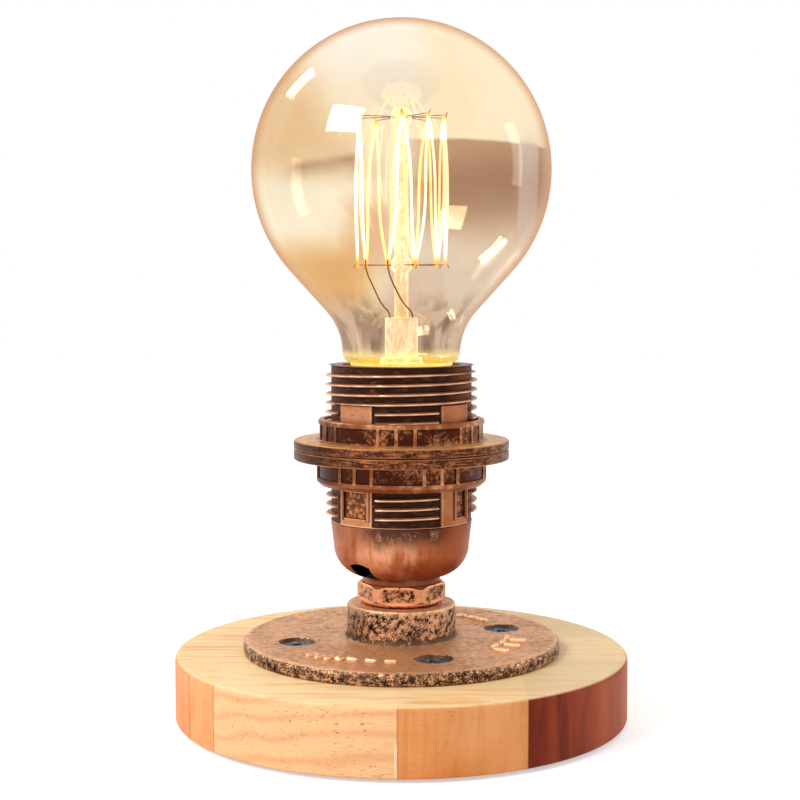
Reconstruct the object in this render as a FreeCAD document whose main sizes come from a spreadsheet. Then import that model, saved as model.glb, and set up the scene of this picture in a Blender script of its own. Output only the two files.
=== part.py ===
"""Bare bulb table lamp: a round wooden base, a cast floor flange, a threaded lampholder and a globe bulb.

Millimetres. +Z is up, the origin is the middle of the footprint on the table, and -Y is the front.
"""
import FreeCAD, Part
import math
import os
import re
import Sketcher

V = FreeCAD.Vector
doc = FreeCAD.newDocument("BareBulbLamp")
sizes = doc.addObject("Spreadsheet::Sheet", "Sizes")

# ---- driving sizes: lengths in mm, angles in degrees ---------------------------------------------
DRIVING = {
    # clearances: between parts that run in each other, between seated parts, and round a bolt or a wire
    "running_gap": 0.3, "seat_gap": 0.05, "bolt_gap": 0.1, "cut_over": 1.0,
    # wooden base and its stick-on feet
    "base_radius": 60.0, "base_thickness": 17.0, "base_top_bevel": 1.2, "base_low_bevel": 0.8,
    "wire_bore_radius": 8.0, "pocket_radius": 16.0, "pocket_depth": 10.5,
    "inlet_radius": 3.5, "inlet_height": 6.5,
    "foot_radius": 6.0, "foot_height": 1.0, "foot_circle": 46.0,
    # cast floor flange
    "plate_radius": 42.0, "plate_thickness": 3.6, "plate_top_bevel": 1.3, "plate_low_bevel": 0.5,
    "hub_radius": 14.45, "hub_height": 9.1, "hub_foot_bevel": 1.3, "hub_top_bevel": 0.5,
    "screw_circle": 28.5, "screw_first_angle": 16.6, "screw_count": 4,
    "sink_radius": 4.9, "screw_hole_radius": 2.6,
    # countersunk wood screws
    "screw_radius": 2.0, "screw_head_radius": 4.1, "screw_length": 15.0,
    # hexagon bushing and the hollow nipple through it
    "plug_radius": 10.4, "plug_length": 11.0, "bush_neck_radius": 10.7, "bush_neck_height": 1.0,
    "hex_flats": 21.0, "hex_height": 4.6, "hex_turn": -3.9, "hex_corner_radius": 11.75, "hex_chamfer": 0.5,
    "nipple_radius": 5.0, "nipple_bore": 3.7, "nipple_length": 22.0, "nipple_above_nut": 1.2,
    "nut_flats": 14.0, "nut_height": 3.0,
    # lampholder cap
    "cap_neck_radius": 10.3, "dome_radius": 8.4, "dome_centre_radius": 9.6, "dome_centre_height": 10.2,
    "cap_mouth_radius": 18.75, "cap_height": 16.5, "cap_bore": 15.3,
    "collar_height": 5.3, "collar_radius": 16.9,
    "slot_width": 6.7, "slot_low": 2.0, "slot_side_height": 3.8, "slot_arch_radius": 7.0,
    "slot_reach": 10.6, "slot_turn": -41.6,
    # lampholder skirt
    "crest_radius": 20.1, "root_radius": 18.7, "skirt_height": 41.3, "thread_start": 1.0,
    "rim_band": 1.3, "thread_bevel": 0.8,
    "panel_radius": 18.9, "panel_angle": 35.0, "panel_top": 31.6, "segment_turn": 4.5, "panel_count": 4,
    "mouth_radius": 15.8, "mouth_depth": 5.0, "mouth_bevel": 0.5,
    # screw socket, its insulating block and contacts
    "block_height": 6.0, "socket_wall": 0.5, "socket_height": 22.0, "socket_lip": 3.0,
    "well_width": 6.4, "well_depth": 1.4, "tongue_width": 5.0, "tongue_thickness": 0.5,
    "tongue_reach": 11.0, "tongue_foot": 4.0, "tongue_flat": 2.0, "tongue_rivet_in": 2.0,
    "rivet_radius": 0.7, "rivet_head": 1.2, "rivet_head_height": 0.6,
    "terminal_inner": 3.0, "terminal_width": 5.0, "terminal_depth": 10.6, "terminal_thickness": 0.8,
    "terminal_screw_in": 1.9, "terminal_screw_radius": 1.5, "terminal_screw_grip": 3.5,
    "terminal_head_radius": 2.3, "terminal_head_height": 2.0,
    # the two shade rings on the skirt
    "ring_wall": 0.8, "flange_radius": 28.5, "flange_bevel": 0.4,
    "upper_rib_radius": 22.0, "upper_flange": 2.35, "upper_collar": 5.5, "upper_band": 1.3,
    "upper_turn": -16.0,
    "lower_rib_radius": 22.5, "lower_flange": 2.55, "lower_collar": 6.7, "lower_band": 2.1,
    "lower_turn": 15.0, "lower_chamfer": 1.0, "rib_angle": 2.5,
    "narrow_angle": 10.0, "rib_groups": 6, "rings_meet": 19.0,
    # globe bulb
    "globe_radius": 39.2, "glass_wall": 0.6, "neck_slope": 42.0, "neck_fillet": 17.0, "neck_radius": 15.5,
    "shoulder_radius": 2.1, "stub_radius": 12.1, "stub_length": 9.5, "holder_to_glass": 0.6,
    # bulb cap and contact
    "cap_radius": 13.1, "cap_wall": 0.35, "cap_screw_length": 20.1, "rim_flare": 0.4,
    "rim_height": 1.0, "cap_length": 27.0, "cone_radius": 5.8, "cone_wall": 2.6, "crimp_height": 1.5,
    "button_radius": 4.8, "button_height": 1.6, "button_bevel": 1.0, "button_stem_radius": 1.5,
    "cement_below_rim": 1.2,
    # stem, rod, supports, leads and filament inside the globe
    "flare_rim": 2.4, "flare_rim_height": 0.8, "flare_height": 11.5, "flare_top_radius": 5.2,
    "flare_wall": 1.0, "flare_knee_radius": 7.2, "flare_knee_height": 5.0,
    "press_width": 8.6, "press_depth": 4.2, "press_edge": 1.2, "press_height": 10.5,
    "rod_radius": 1.8, "rod_button_radius": 2.7, "rod_button_height": 2.0, "rod_above": 2.2,
    "cage_radius": 11.5, "cage_top": 14.1, "cage_bottom": 24.5, "hook_radius": 0.5, "hook_count": 9,
    "cage_step_angle": 36.0, "cage_first_angle": -108.0, "filament_radius": 0.15,
    "support_radius": 0.15, "support_past": 0.9,
    "lead_radius": 0.3, "lead_spacing": 3.0, "lead_straight": 3.0, "lead_clamp": 4.0,
    "outer_lead_length": 14.0, "turn_side_count": 5,
}

# ---- heights and radii that follow from them -----------------------------------------------------
DERIVED = {
    "base_top": "foot_height + base_thickness",
    "plate_top": "base_top + plate_thickness",
    "hub_top": "plate_top + hub_height",
    "screw_top": "plate_top - sink_radius + screw_head_radius + seat_gap",
    "screw_low": "screw_top - screw_length",
    "pilot_low": "screw_low - running_gap",
    "hub_bore": "plug_radius + bolt_gap",
    "hex_low": "hub_top + bush_neck_height",
    "hex_top": "hex_low + hex_height",
    "cap_low": "hex_top",
    "dome_height": "cap_low + dome_centre_height",
    "dome_foot": "dome_height - sqrt(dome_radius ^ 2 - (cap_neck_radius - dome_centre_radius) ^ 2)",
    "cap_inside": "dome_height - cap_bore + dome_centre_radius",
    "nut_top": "cap_inside + nut_height",
    "nipple_top": "nut_top + nipple_above_nut",
    "nipple_low": "nipple_top - nipple_length",
    "seam_height": "cap_low + cap_height",
    "collar_top": "seam_height + collar_height",
    "block_top": "collar_top + block_height",
    "rim_top": "seam_height + skirt_height",
    "skirt_bore": "collar_radius + bolt_gap",
    "block_radius": "skirt_bore - bolt_gap",
    "socket_bore": "cap_radius + running_gap + seat_gap",
    "socket_radius": "socket_bore + socket_wall",
    "socket_room": "socket_radius + running_gap",
    "ring_bore": "crest_radius + running_gap",
    "ring_body": "ring_bore + ring_wall",
    "rings_height": "seam_height + rings_meet",
    "upper_low": "rings_height + running_gap / 2",
    "upper_flange_top": "upper_low + upper_flange",
    "upper_top": "upper_flange_top + upper_collar",
    "lower_top": "rings_height - running_gap / 2",
    "lower_flange_low": "lower_top - lower_flange",
    "lower_low": "lower_flange_low - lower_collar",
    "wide_angle": "360 / rib_groups - 3 * rib_angle - 2 * narrow_angle",
    "cap_rim": "rim_top + holder_to_glass - seat_gap",
    "glass_seat": "rim_top + holder_to_glass",
    "neck_height": "glass_seat + shoulder_radius",
    "neck_join_radius": "neck_radius + neck_fillet * (1 - cos(neck_slope * 1deg))",
    "neck_join_height": "neck_height + neck_fillet * sin(neck_slope * 1deg)",
    "globe_join_radius": "globe_radius * cos(neck_slope * 1deg)",
    "globe_join_height": "neck_join_height + (globe_join_radius - neck_join_radius) / tan(neck_slope * 1deg)",
    "globe_height": "globe_join_height + globe_radius * sin(neck_slope * 1deg)",
    "cap_low_edge": "cap_rim - cap_screw_length",
    "button_low": "cap_rim - cap_length",
    "button_top": "button_low + button_height",
    "tongue_top": "button_low - running_gap",
    "well_floor": "block_top - well_depth",
    "tongue_low": "well_floor + running_gap",
    "tongue_knee": "tongue_reach - tongue_foot",
    "tongue_rivet_place": "tongue_reach - tongue_rivet_in",
    "lip_rivet_place": "socket_bore - socket_lip / 2 + socket_wall / 2",
    "cap_inner": "cap_radius - cap_wall",
    "plate_low": "collar_top - terminal_thickness",
    "stub_low": "glass_seat - stub_length",
    "flare_top": "stub_low - seat_gap",
    "flare_low": "flare_top - flare_rim_height",
    "press_low": "flare_low + flare_height",
    "stem_ceiling": "press_low - 1.5 * flare_wall",
    "press_edge_radius": "(press_depth ^ 2 / 4 + press_edge ^ 2) / (2 * press_edge)",
    "press_top": "press_low + press_height",
    "hooks_top": "globe_height + cage_top",
    "hooks_bottom": "globe_height - cage_bottom",
    "rod_top": "hooks_top + rod_above",
}


def write_sheet():
    """Fills the sheet: a size's name in column A, and its value or formula in column B, with that alias."""
    row = 0
    for name, value in DRIVING.items():
        row += 1
        sizes.set(f"A{row}", name)
        sizes.set(f"B{row}", repr(value))
        sizes.setAlias(f"B{row}", name)
    for name, formula in DERIVED.items():
        row += 1
        sizes.set(f"A{row}", name)
        sizes.set(f"B{row}", "=" + formula)
        sizes.setAlias(f"B{row}", name)
    doc.recompute()


write_sheet()


# ---- small helpers -------------------------------------------------------------------------------
def bound(expression):
    """The expression as another object of the document reads it, with the sheet's name before each alias."""
    return re.sub(r"[a-z]\w*_\w+", lambda word: "Sizes." + word.group(0), expression)


def value(expression):
    """The expression's number now."""
    return float(sizes.evalExpression(expression))


def bind(thing, **properties):
    """Ties the object's properties to the sheet, so Height="base_top" follows that cell."""
    for name, expression in properties.items():
        thing.setExpression(name, bound(expression))
    return thing


def origin_part(body, role):
    """The body's own origin plane or axis of that role."""
    return next(part for part in body.Origin.OriginFeatures if part.Role == role)


def arc_between(start, end, radius, turn):
    """An arc from start to end of that radius, bending left (turn 1) or right (turn -1) as it goes."""
    chord = end - start
    middle = (start + end) * 0.5
    sagitta_base = math.sqrt(max(radius * radius - chord.Length * chord.Length / 4, 0.0))
    across = V(-chord.y, chord.x, 0).normalize()
    centre = middle + across * (sagitta_base * turn)
    first, last = (start, end) if turn > 0 else (end, start)
    circle = Part.Circle(centre, V(0, 0, 1), radius)
    return Part.ArcOfCircle(circle, circle.parameter(first), circle.parameter(last))


def locate(sketch, edge, point, across, up):
    """Dimensions one end of an edge from the sketch's origin."""
    for kind, axis, expression in (("DistanceX", -2, across), ("DistanceY", -1, up)):
        number = value(expression)
        if abs(number) < 1e-9:
            sketch.addConstraint(Sketcher.Constraint("PointOnObject", edge, point, axis))
        else:
            index = sketch.addConstraint(Sketcher.Constraint(kind, -1, 1, edge, point, number))
            sketch.setExpression(f"Constraints[{index}]", bound(expression))


def outline(body, name, corners, arcs=None, plane="XZ_Plane"):
    """A closed sketch through corners, which are (across, up) pairs of expressions.

    arcs gives the edges that are arcs, as {index of the corner they start from: (radius, turn)}.
    """
    arcs = arcs or {}
    sketch = body.newObject("Sketcher::SketchObject", name)
    sketch.AttachmentSupport = (origin_part(body, plane), [""])
    sketch.MapMode = "FlatFace"
    spots = [V(value(across), value(up), 0) for across, up in corners]
    ends = []
    for index, start in enumerate(spots):
        end = spots[(index + 1) % len(spots)]
        if index in arcs:
            radius, turn = arcs[index]
            sketch.addGeometry(arc_between(start, end, value(radius), turn), False)
            ends.append((1, 2) if turn > 0 else (2, 1))
        else:
            sketch.addGeometry(Part.LineSegment(start, end), False)
            ends.append((1, 2))
    for index, (across, up) in enumerate(corners):
        following = (index + 1) % len(corners)
        joined = Sketcher.Constraint("Coincident", index, ends[index][1], following, ends[following][0])
        sketch.addConstraint(joined)
        locate(sketch, index, ends[index][0], across, up)
    for index, (radius, turn) in arcs.items():
        row = sketch.addConstraint(Sketcher.Constraint("Radius", index, value(radius)))
        sketch.setExpression(f"Constraints[{row}]", bound(radius))
    return sketch


def turned(name, corners, arcs=None):
    """A body turned about +Z from a half section of (radius, height) corners."""
    body = doc.addObject("PartDesign::Body", name)
    sketch = outline(body, name + "_section", corners, arcs)
    turn = body.newObject("PartDesign::Revolution", name + "_turned")
    turn.Profile = sketch
    turn.ReferenceAxis = (sketch, ["V_Axis"])
    turn.Angle = 360
    doc.recompute()
    return body


def padded(name, corners, length, arcs=None, plane="XY_Plane", lift=None, midplane=False):
    """A body padded from an outline on an origin plane, lifted off that plane if asked."""
    body = doc.addObject("PartDesign::Body", name)
    sketch = outline(body, name + "_section", corners, arcs, plane)
    if lift:
        bind(sketch, **{"AttachmentOffset.Base.z": lift})
    pad = body.newObject("PartDesign::Pad", name + "_pad")
    pad.Profile = sketch
    bind(pad, Length=length)
    pad.Midplane = midplane
    doc.recompute()
    return body


def stand(thing, across, azimuth, low):
    """Stands an object at a distance from the axis, an azimuth in degrees and a height."""
    return bind(thing, **{"Placement.Base.x": f"({across}) * cos({azimuth}deg)",
                          "Placement.Base.y": f"({across}) * sin({azimuth}deg)",
                          "Placement.Base.z": low})


def rod(name, radius, height, low, across="0", azimuth=0.0):
    """An upright cylinder."""
    cylinder = doc.addObject("Part::Cylinder", name)
    return stand(bind(cylinder, Radius=radius, Height=height), across, azimuth, low)


def cone(name, low_radius, top_radius, height, low, across, azimuth):
    """An upright cone."""
    frustum = doc.addObject("Part::Cone", name)
    bind(frustum, Radius1=low_radius, Radius2=top_radius, Height=height)
    return stand(frustum, across, azimuth, low)


def spoke(name, radius, length, level, start, azimuth):
    """A cylinder that points away from the axis, from a distance called start."""
    way = V(math.cos(math.radians(azimuth)), math.sin(math.radians(azimuth)), 0)
    cylinder = doc.addObject("Part::Cylinder", name)
    cylinder.Placement = FreeCAD.Placement(V(), FreeCAD.Rotation(V(0, 0, 1), way))
    return stand(bind(cylinder, Radius=radius, Height=length), start, azimuth, level)


def at_azimuth(thing, azimuth):
    """Swings a placed object about +Z."""
    swing = FreeCAD.Placement(V(), FreeCAD.Rotation(V(0, 0, 1), azimuth))
    thing.Placement = swing.multiply(thing.Placement)
    return thing


def joined(name, things, kind="Part::MultiFuse"):
    """One object of several: fused, or with kind Part::Compound a group of separate solids."""
    group = doc.addObject(kind, name)
    if kind == "Part::Compound":
        group.Links = things
    else:
        group.Shapes = things
    return group


def cut(name, base, tool):
    """The base with the tool's space taken out."""
    result = doc.addObject("Part::Cut", name)
    result.Base = base
    result.Tool = tool
    return result


def hexagon(name, flats, height, low, turn):
    """A hexagonal bar with a flat face towards -Y before it is turned."""
    prism = doc.addObject("Part::Prism", name)
    prism.Polygon = 6
    bind(prism, Circumradius=f"{flats} / 2 / cos(30deg)", Height=height)
    middle = V(0, 0, value(low))
    prism.Placement = FreeCAD.Placement(middle, FreeCAD.Rotation(V(0, 0, 1), value(turn)))
    return prism


def sectors(name, spans, core, reach, low, height):
    """Wedges of a ring between two radii, as one cutter. spans are (start, width) pairs in degrees."""
    wedges = []
    for index, (start, width) in enumerate(spans):
        wedge = doc.addObject("Part::Cylinder", f"{name}_wedge_{index}")
        bind(wedge, Radius=reach, Height=height)
        wedge.Angle = width
        wedge.Placement = FreeCAD.Placement(V(0, 0, value(low)), FreeCAD.Rotation(V(0, 0, 1), start))
        wedges.append(wedge)
    middle = rod(name + "_core", core, height, low)
    return cut(name, joined(name + "_wedges", wedges), middle)


def eased(before, corner, after, radius, sides):
    """Points that take a path round a corner on an arc of that radius, as so many short straight sides."""
    back = (before - corner).normalize()
    ahead = (after - corner).normalize()
    half_angle = back.getAngle(ahead) / 2
    inward = (back + ahead).normalize()
    centre = corner + inward * (radius / math.sin(half_angle))
    out = (inward * -1).normalize()
    side = (ahead - back).normalize()
    sweep = math.pi / 2 - half_angle
    steps = [sweep * (2 * k / sides - 1) for k in range(sides + 1)]
    return [centre + (out * math.cos(angle) + side * math.sin(angle)) * radius for angle in steps]


def wire_solid(points, radius):
    """A round wire along straight runs, mitred where they meet."""
    path = Part.makePolygon(points)
    section = Part.Wire(Part.Circle(points[0], points[1] - points[0], radius).toShape())
    pipe = Part.BRepOffsetAPI.MakePipeShell(path)
    pipe.setTransitionMode(1)
    pipe.add(section)
    pipe.build()
    pipe.makeSolid()
    solid = pipe.shape()
    expected = path.Length * math.pi * radius * radius
    print(f"wire {path.Length:.1f} mm long, volume {solid.Volume / expected:.4f} of section times length")
    return solid


def polar(radius, azimuth, height):
    """A point at that radius, azimuth in degrees and height."""
    return V(radius * math.cos(math.radians(azimuth)), radius * math.sin(math.radians(azimuth)), height)


nodes = {}


def keep(name, thing):
    """Gives a finished sub-part its name."""
    thing.Label = name
    nodes[name] = thing
    return thing


# ---- wooden base: a turned disc with a wire pocket beneath and a drilled cord inlet at the back ----
board = turned(
    "board_disc",
    [("wire_bore_radius", "foot_height + pocket_depth"), ("pocket_radius", "foot_height + pocket_depth"),
     ("pocket_radius", "foot_height"), ("base_radius - base_low_bevel", "foot_height"),
     ("base_radius", "foot_height + base_low_bevel"), ("base_radius", "base_top - base_top_bevel"),
     ("base_radius - base_top_bevel", "base_top"), ("wire_bore_radius", "base_top")])
BACK = 90.0
inlet_drill = spoke("inlet_drill", "inlet_radius", "base_radius - pocket_radius + 2 * inlet_radius",
                    "inlet_height", "pocket_radius - inlet_radius", BACK)
screw_count = int(value("screw_count"))
SCREW_AZIMUTHS = [value("screw_first_angle") + 360.0 / screw_count * k for k in range(screw_count)]
pilots = [rod(f"pilot_{k}", "screw_radius + seat_gap", "base_top - pilot_low + cut_over", "pilot_low",
              "screw_circle", azimuth) for k, azimuth in enumerate(SCREW_AZIMUTHS)]
keep("base_board", cut("drilled_board", board, joined("board_drills", [inlet_drill] + pilots)))

# four stick-on foam feet under the board
FOOT_AZIMUTHS = [45.0, 135.0, 225.0, 315.0]
feet = [rod(f"foot_{k}", "foot_radius", "foot_height", "0", "foot_circle", azimuth)
        for k, azimuth in enumerate(FOOT_AZIMUTHS)]
keep("foot_pads", joined("foot_set", feet, "Part::Compound"))

# ---- cast iron floor flange: a round plate with a bored hub and four countersunk holes -----------
casting = turned(
    "flange_casting",
    [("hub_bore", "base_top"), ("plate_radius - plate_low_bevel", "base_top"),
     ("plate_radius", "base_top + plate_low_bevel"), ("plate_radius", "plate_top - plate_top_bevel"),
     ("plate_radius - plate_top_bevel", "plate_top"), ("hub_radius + hub_foot_bevel", "plate_top"),
     ("hub_radius", "plate_top + hub_foot_bevel"), ("hub_radius", "hub_top - hub_top_bevel"),
     ("hub_radius - hub_top_bevel", "hub_top"), ("hub_bore", "hub_top")])
hole_tools = []
for k, azimuth in enumerate(SCREW_AZIMUTHS):
    hole_tools.append(rod(f"flange_drill_{k}", "screw_hole_radius", "plate_thickness + 2 * cut_over",
                          "base_top - cut_over", "screw_circle", azimuth))
    hole_tools.append(cone(f"countersink_{k}", "screw_hole_radius", "sink_radius + cut_over",
                           "sink_radius - screw_hole_radius + cut_over",
                           "plate_top - sink_radius + screw_hole_radius", "screw_circle", azimuth))
keep("floor_flange", cut("drilled_flange", casting, joined("flange_drills", hole_tools)))

# four countersunk wood screws that hold the flange to the board
screws = []
for k, azimuth in enumerate(SCREW_AZIMUTHS):
    shank = rod(f"screw_shank_{k}", "screw_radius", "screw_length", "screw_low", "screw_circle", azimuth)
    head = cone(f"screw_head_{k}", "screw_radius", "screw_head_radius", "screw_head_radius - screw_radius",
                "screw_top - screw_head_radius + screw_radius", "screw_circle", azimuth)
    screws.append(joined(f"screw_{k}", [shank, head]))
keep("flange_screws", joined("screw_set", screws, "Part::Compound"))

# ---- hexagon bushing in the hub, the hollow nipple through it and the nipple's locknut -------------
plug = turned(
    "bushing_plug",
    [("nipple_radius + seat_gap", "hub_top - plug_length"), ("plug_radius", "hub_top - plug_length"),
     ("plug_radius", "hub_top"), ("bush_neck_radius", "hub_top"), ("bush_neck_radius", "hex_low"),
     ("nipple_radius + seat_gap", "hex_low")])
hex_blank = hexagon("hex_blank", "hex_flats", "hex_height", "hex_low", "hex_turn")
hex_turning = turned(
    "hex_turning",
    [("nipple_radius + seat_gap", "hex_low"), ("hex_corner_radius - hex_chamfer", "hex_low"),
     ("hex_corner_radius", "hex_low + hex_chamfer"), ("hex_corner_radius", "hex_top - hex_chamfer"),
     ("hex_corner_radius - hex_chamfer", "hex_top"), ("nipple_radius + seat_gap", "hex_top")])
hex_head = doc.addObject("Part::Common", "hex_head")
hex_head.Base = hex_blank
hex_head.Tool = hex_turning
keep("hex_bushing", joined("bushing", [plug, hex_head]))

keep("threaded_nipple", turned(
    "nipple_tube",
    [("nipple_bore", "nipple_low"), ("nipple_radius", "nipple_low"), ("nipple_radius", "nipple_top"),
     ("nipple_bore", "nipple_top")]))

nut_blank = hexagon("nut_blank", "nut_flats", "nut_height", "cap_inside", "hex_turn")
nut_bore = rod("nut_bore", "nipple_radius + seat_gap", "nut_height", "cap_inside")
keep("nipple_locknut", cut("locknut", nut_blank, nut_bore))

# ---- holder cap: a dome on a short neck, with two arched slots and a collar inside the skirt --------
dome = turned(
    "cap_dome",
    [("nipple_radius + bolt_gap", "cap_low"), ("cap_neck_radius", "cap_low"),
     ("cap_neck_radius", "dome_foot"), ("dome_centre_radius + dome_radius", "dome_height"),
     ("cap_mouth_radius", "seam_height"), ("collar_radius", "seam_height"), ("collar_radius", "collar_top"),
     ("cap_bore", "collar_top"), ("cap_bore", "dome_height"), ("dome_centre_radius", "cap_inside"),
     ("nipple_radius + bolt_gap", "cap_inside")],
    {2: ("dome_radius", 1)})
slot_tools = []
for side, azimuth in (("front", 0.0), ("rear", 180.0)):
    slot = padded(
        f"slot_{side}",
        [("-slot_width / 2", "cap_low + slot_low"), ("slot_width / 2", "cap_low + slot_low"),
         ("slot_width / 2", "cap_low + slot_low + slot_side_height"),
         ("-slot_width / 2", "cap_low + slot_low + slot_side_height")],
        "crest_radius - slot_reach", {2: ("slot_arch_radius", 1)}, "XZ_Plane", "slot_reach")
    slot_tools.append(at_azimuth(slot, azimuth + value("slot_turn")))
keep("holder_cap", cut("slotted_cap", dome, joined("slot_cutters", slot_tools)))

# ---- holder skirt: threaded outside, with the thread broken by four smooth panels below ----------
skirt_turning = turned(
    "skirt_turning",
    [("skirt_bore", "seam_height"), ("root_radius", "seam_height"),
     ("root_radius", "seam_height + thread_start"),
     ("crest_radius", "seam_height + thread_start + thread_bevel"),
     ("crest_radius", "rim_top - rim_band - thread_bevel"), ("root_radius", "rim_top - rim_band"),
     ("root_radius", "rim_top - mouth_bevel"), ("root_radius - mouth_bevel", "rim_top"),
     ("mouth_radius", "rim_top"), ("mouth_radius", "rim_top - mouth_depth"),
     ("socket_room", "rim_top - mouth_depth"), ("socket_room", "block_top"),
     ("skirt_bore", "block_top")])
FRONT = -90.0
panel_step = 360.0 / value("panel_count")
first_panel = FRONT + value("segment_turn") + (panel_step - value("panel_angle")) / 2
panels = [(first_panel + panel_step * k, value("panel_angle")) for k in range(int(value("panel_count")))]
panel_cutter = sectors("panel", panels, "panel_radius", "crest_radius + cut_over", "seam_height", "panel_top")
keep("holder_skirt", cut("skirt", skirt_turning, panel_cutter))

# ---- inside the holder: the insulating block, the screw socket, the contacts and their fixings ------
TONGUE_SIDE = 180.0
LIP_SIDE = 90.0
block_disc = turned(
    "block_disc",
    [("0", "collar_top"), ("block_radius", "collar_top"), ("block_radius", "block_top"), ("0", "block_top")])
well = padded(
    "block_well",
    [("-tongue_flat - running_gap", "-well_width / 2"), ("tongue_reach + running_gap", "-well_width / 2"),
     ("tongue_reach + running_gap", "well_width / 2"), ("-tongue_flat - running_gap", "well_width / 2")],
    "well_depth + cut_over", None, "XY_Plane", "well_floor")
rivet_places = (("tongue", TONGUE_SIDE, "tongue_rivet_place"), ("lip", LIP_SIDE, "lip_rivet_place"))
block_tools = [at_azimuth(well, TONGUE_SIDE)]
for name, side, place in rivet_places:
    block_tools.append(rod(f"{name}_rivet_hole", "rivet_radius + seat_gap", "block_height", "collar_top",
                           place, side))
    block_tools.append(rod(f"{name}_screw_hole", "terminal_screw_radius + seat_gap",
                           "terminal_screw_grip + running_gap", "collar_top",
                           "terminal_inner + terminal_screw_in", side))
keep("contact_block", cut("drilled_block", block_disc, joined("block_cutters", block_tools)))

socket_shell = turned(
    "socket_shell",
    [("socket_radius - socket_lip", "block_top"), ("socket_radius", "block_top"),
     ("socket_radius", "block_top + socket_height"), ("socket_bore", "block_top + socket_height"),
     ("socket_bore", "block_top + socket_wall"), ("socket_radius - socket_lip", "block_top + socket_wall")])
lip_hole = rod("lip_hole", "rivet_radius + seat_gap", "socket_wall", "block_top", "lip_rivet_place",
               LIP_SIDE)
keep("screw_socket", cut("pierced_socket", socket_shell, lip_hole))

plates, terminal_screws, rivets = [], [], []
for name, side, place in rivet_places:
    blank = doc.addObject("Part::Box", f"{name}_terminal_blank")
    bind(blank, Length="terminal_depth", Width="terminal_width", Height="terminal_thickness")
    bind(blank, **{"Placement.Base.x": "terminal_inner", "Placement.Base.y": "-terminal_width / 2",
                   "Placement.Base.z": "plate_low"})
    screw_place = "terminal_inner + terminal_screw_in"
    clearance = rod(f"{name}_terminal_hole", "terminal_screw_radius + seat_gap", "terminal_thickness",
                    "plate_low", screw_place)
    rivet_clearance = rod(f"{name}_terminal_rivet_hole", "rivet_radius + seat_gap", "terminal_thickness",
                          "plate_low", place)
    plate = cut(f"{name}_terminal", blank, joined(f"{name}_terminal_drills", [clearance, rivet_clearance]))
    plates.append(at_azimuth(plate, side))
    grip = rod(f"{name}_screw_grip", "terminal_screw_radius", "terminal_screw_grip + terminal_thickness",
               "plate_low", screw_place)
    head = rod(f"{name}_screw_head", "terminal_head_radius", "terminal_head_height",
               "plate_low - terminal_head_height", screw_place)
    terminal_screws.append(at_azimuth(joined(f"{name}_terminal_screw", [grip, head]), side))
    under = "tongue_low + tongue_thickness + bolt_gap" if name == "tongue" else "block_top + socket_wall"
    shank = rod(f"{name}_rivet_shank", "rivet_radius", f"{under} - plate_low", "plate_low", place)
    rivet_head = rod(f"{name}_rivet_head", "rivet_head", "rivet_head_height", under, place)
    rivet_tail = rod(f"{name}_rivet_tail", "rivet_head", "rivet_head_height", "plate_low - rivet_head_height",
                     place)
    rivets.append(at_azimuth(joined(f"{name}_rivet", [shank, rivet_head, rivet_tail]), side))
keep("terminal_plates", joined("terminal_set", plates, "Part::Compound"))
keep("terminal_screws", joined("terminal_screw_set", terminal_screws, "Part::Compound"))
keep("contact_rivets", joined("rivet_set", rivets, "Part::Compound"))

tongue_strip = padded(
    "tongue_strip",
    [("tongue_knee", "tongue_low"), ("tongue_reach", "tongue_low"),
     ("tongue_reach", "tongue_low + tongue_thickness"), ("tongue_knee", "tongue_low + tongue_thickness"),
     ("tongue_flat", "tongue_top"), ("-tongue_flat", "tongue_top"),
     ("-tongue_flat", "tongue_top - tongue_thickness"), ("tongue_flat", "tongue_top - tongue_thickness")],
    "tongue_width", None, "XZ_Plane", None, True)
tongue_hole = rod("tongue_hole", "rivet_radius + running_gap", "tongue_thickness", "tongue_low",
                  "tongue_rivet_place")
keep("centre_tongue", at_azimuth(cut("pierced_tongue", tongue_strip, tongue_hole), TONGUE_SIDE))


# ---- two shade rings on the skirt thread, flange to flange, with ribbed collars ------------------
def collar_windows(turn):
    """The windows round a collar: in each group a wide one and two narrow ones, with a rib between."""
    rib, narrow, wide = value("rib_angle"), value("narrow_angle"), value("wide_angle")
    groups = int(value("rib_groups"))
    windows = []
    for k in range(groups):
        start = FRONT + value(turn) + 360.0 / groups * k + rib / 2
        windows += [(start, narrow), (start + narrow + rib, narrow), (start + 2 * (narrow + rib), wide)]
    return windows


upper_blank = turned(
    "upper_ring_blank",
    [("ring_bore", "upper_low"), ("flange_radius - flange_bevel", "upper_low"),
     ("flange_radius", "upper_low + flange_bevel"), ("flange_radius", "upper_flange_top - flange_bevel"),
     ("flange_radius - flange_bevel", "upper_flange_top"), ("upper_rib_radius", "upper_flange_top"),
     ("upper_rib_radius", "upper_top"), ("ring_bore", "upper_top")])
upper_cutter = sectors("upper", collar_windows("upper_turn"), "ring_body", "upper_rib_radius + cut_over",
                       "upper_flange_top", "upper_collar - upper_band")
keep("upper_ring", cut("upper_collar_ring", upper_blank, upper_cutter))

lower_blank = turned(
    "lower_ring_blank",
    [("ring_bore", "lower_low"), ("lower_rib_radius - lower_chamfer", "lower_low"),
     ("lower_rib_radius", "lower_low + lower_chamfer"), ("lower_rib_radius", "lower_flange_low"),
     ("flange_radius - flange_bevel", "lower_flange_low"),
     ("flange_radius", "lower_flange_low + flange_bevel"), ("flange_radius", "lower_top - flange_bevel"),
     ("flange_radius - flange_bevel", "lower_top"), ("ring_bore", "lower_top")])
lower_cutter = sectors("lower", collar_windows("lower_turn"), "ring_body", "lower_rib_radius + cut_over",
                       "lower_low + lower_band", "lower_collar - lower_band")
keep("lower_ring", cut("lower_collar_ring", lower_blank, lower_cutter))

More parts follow.
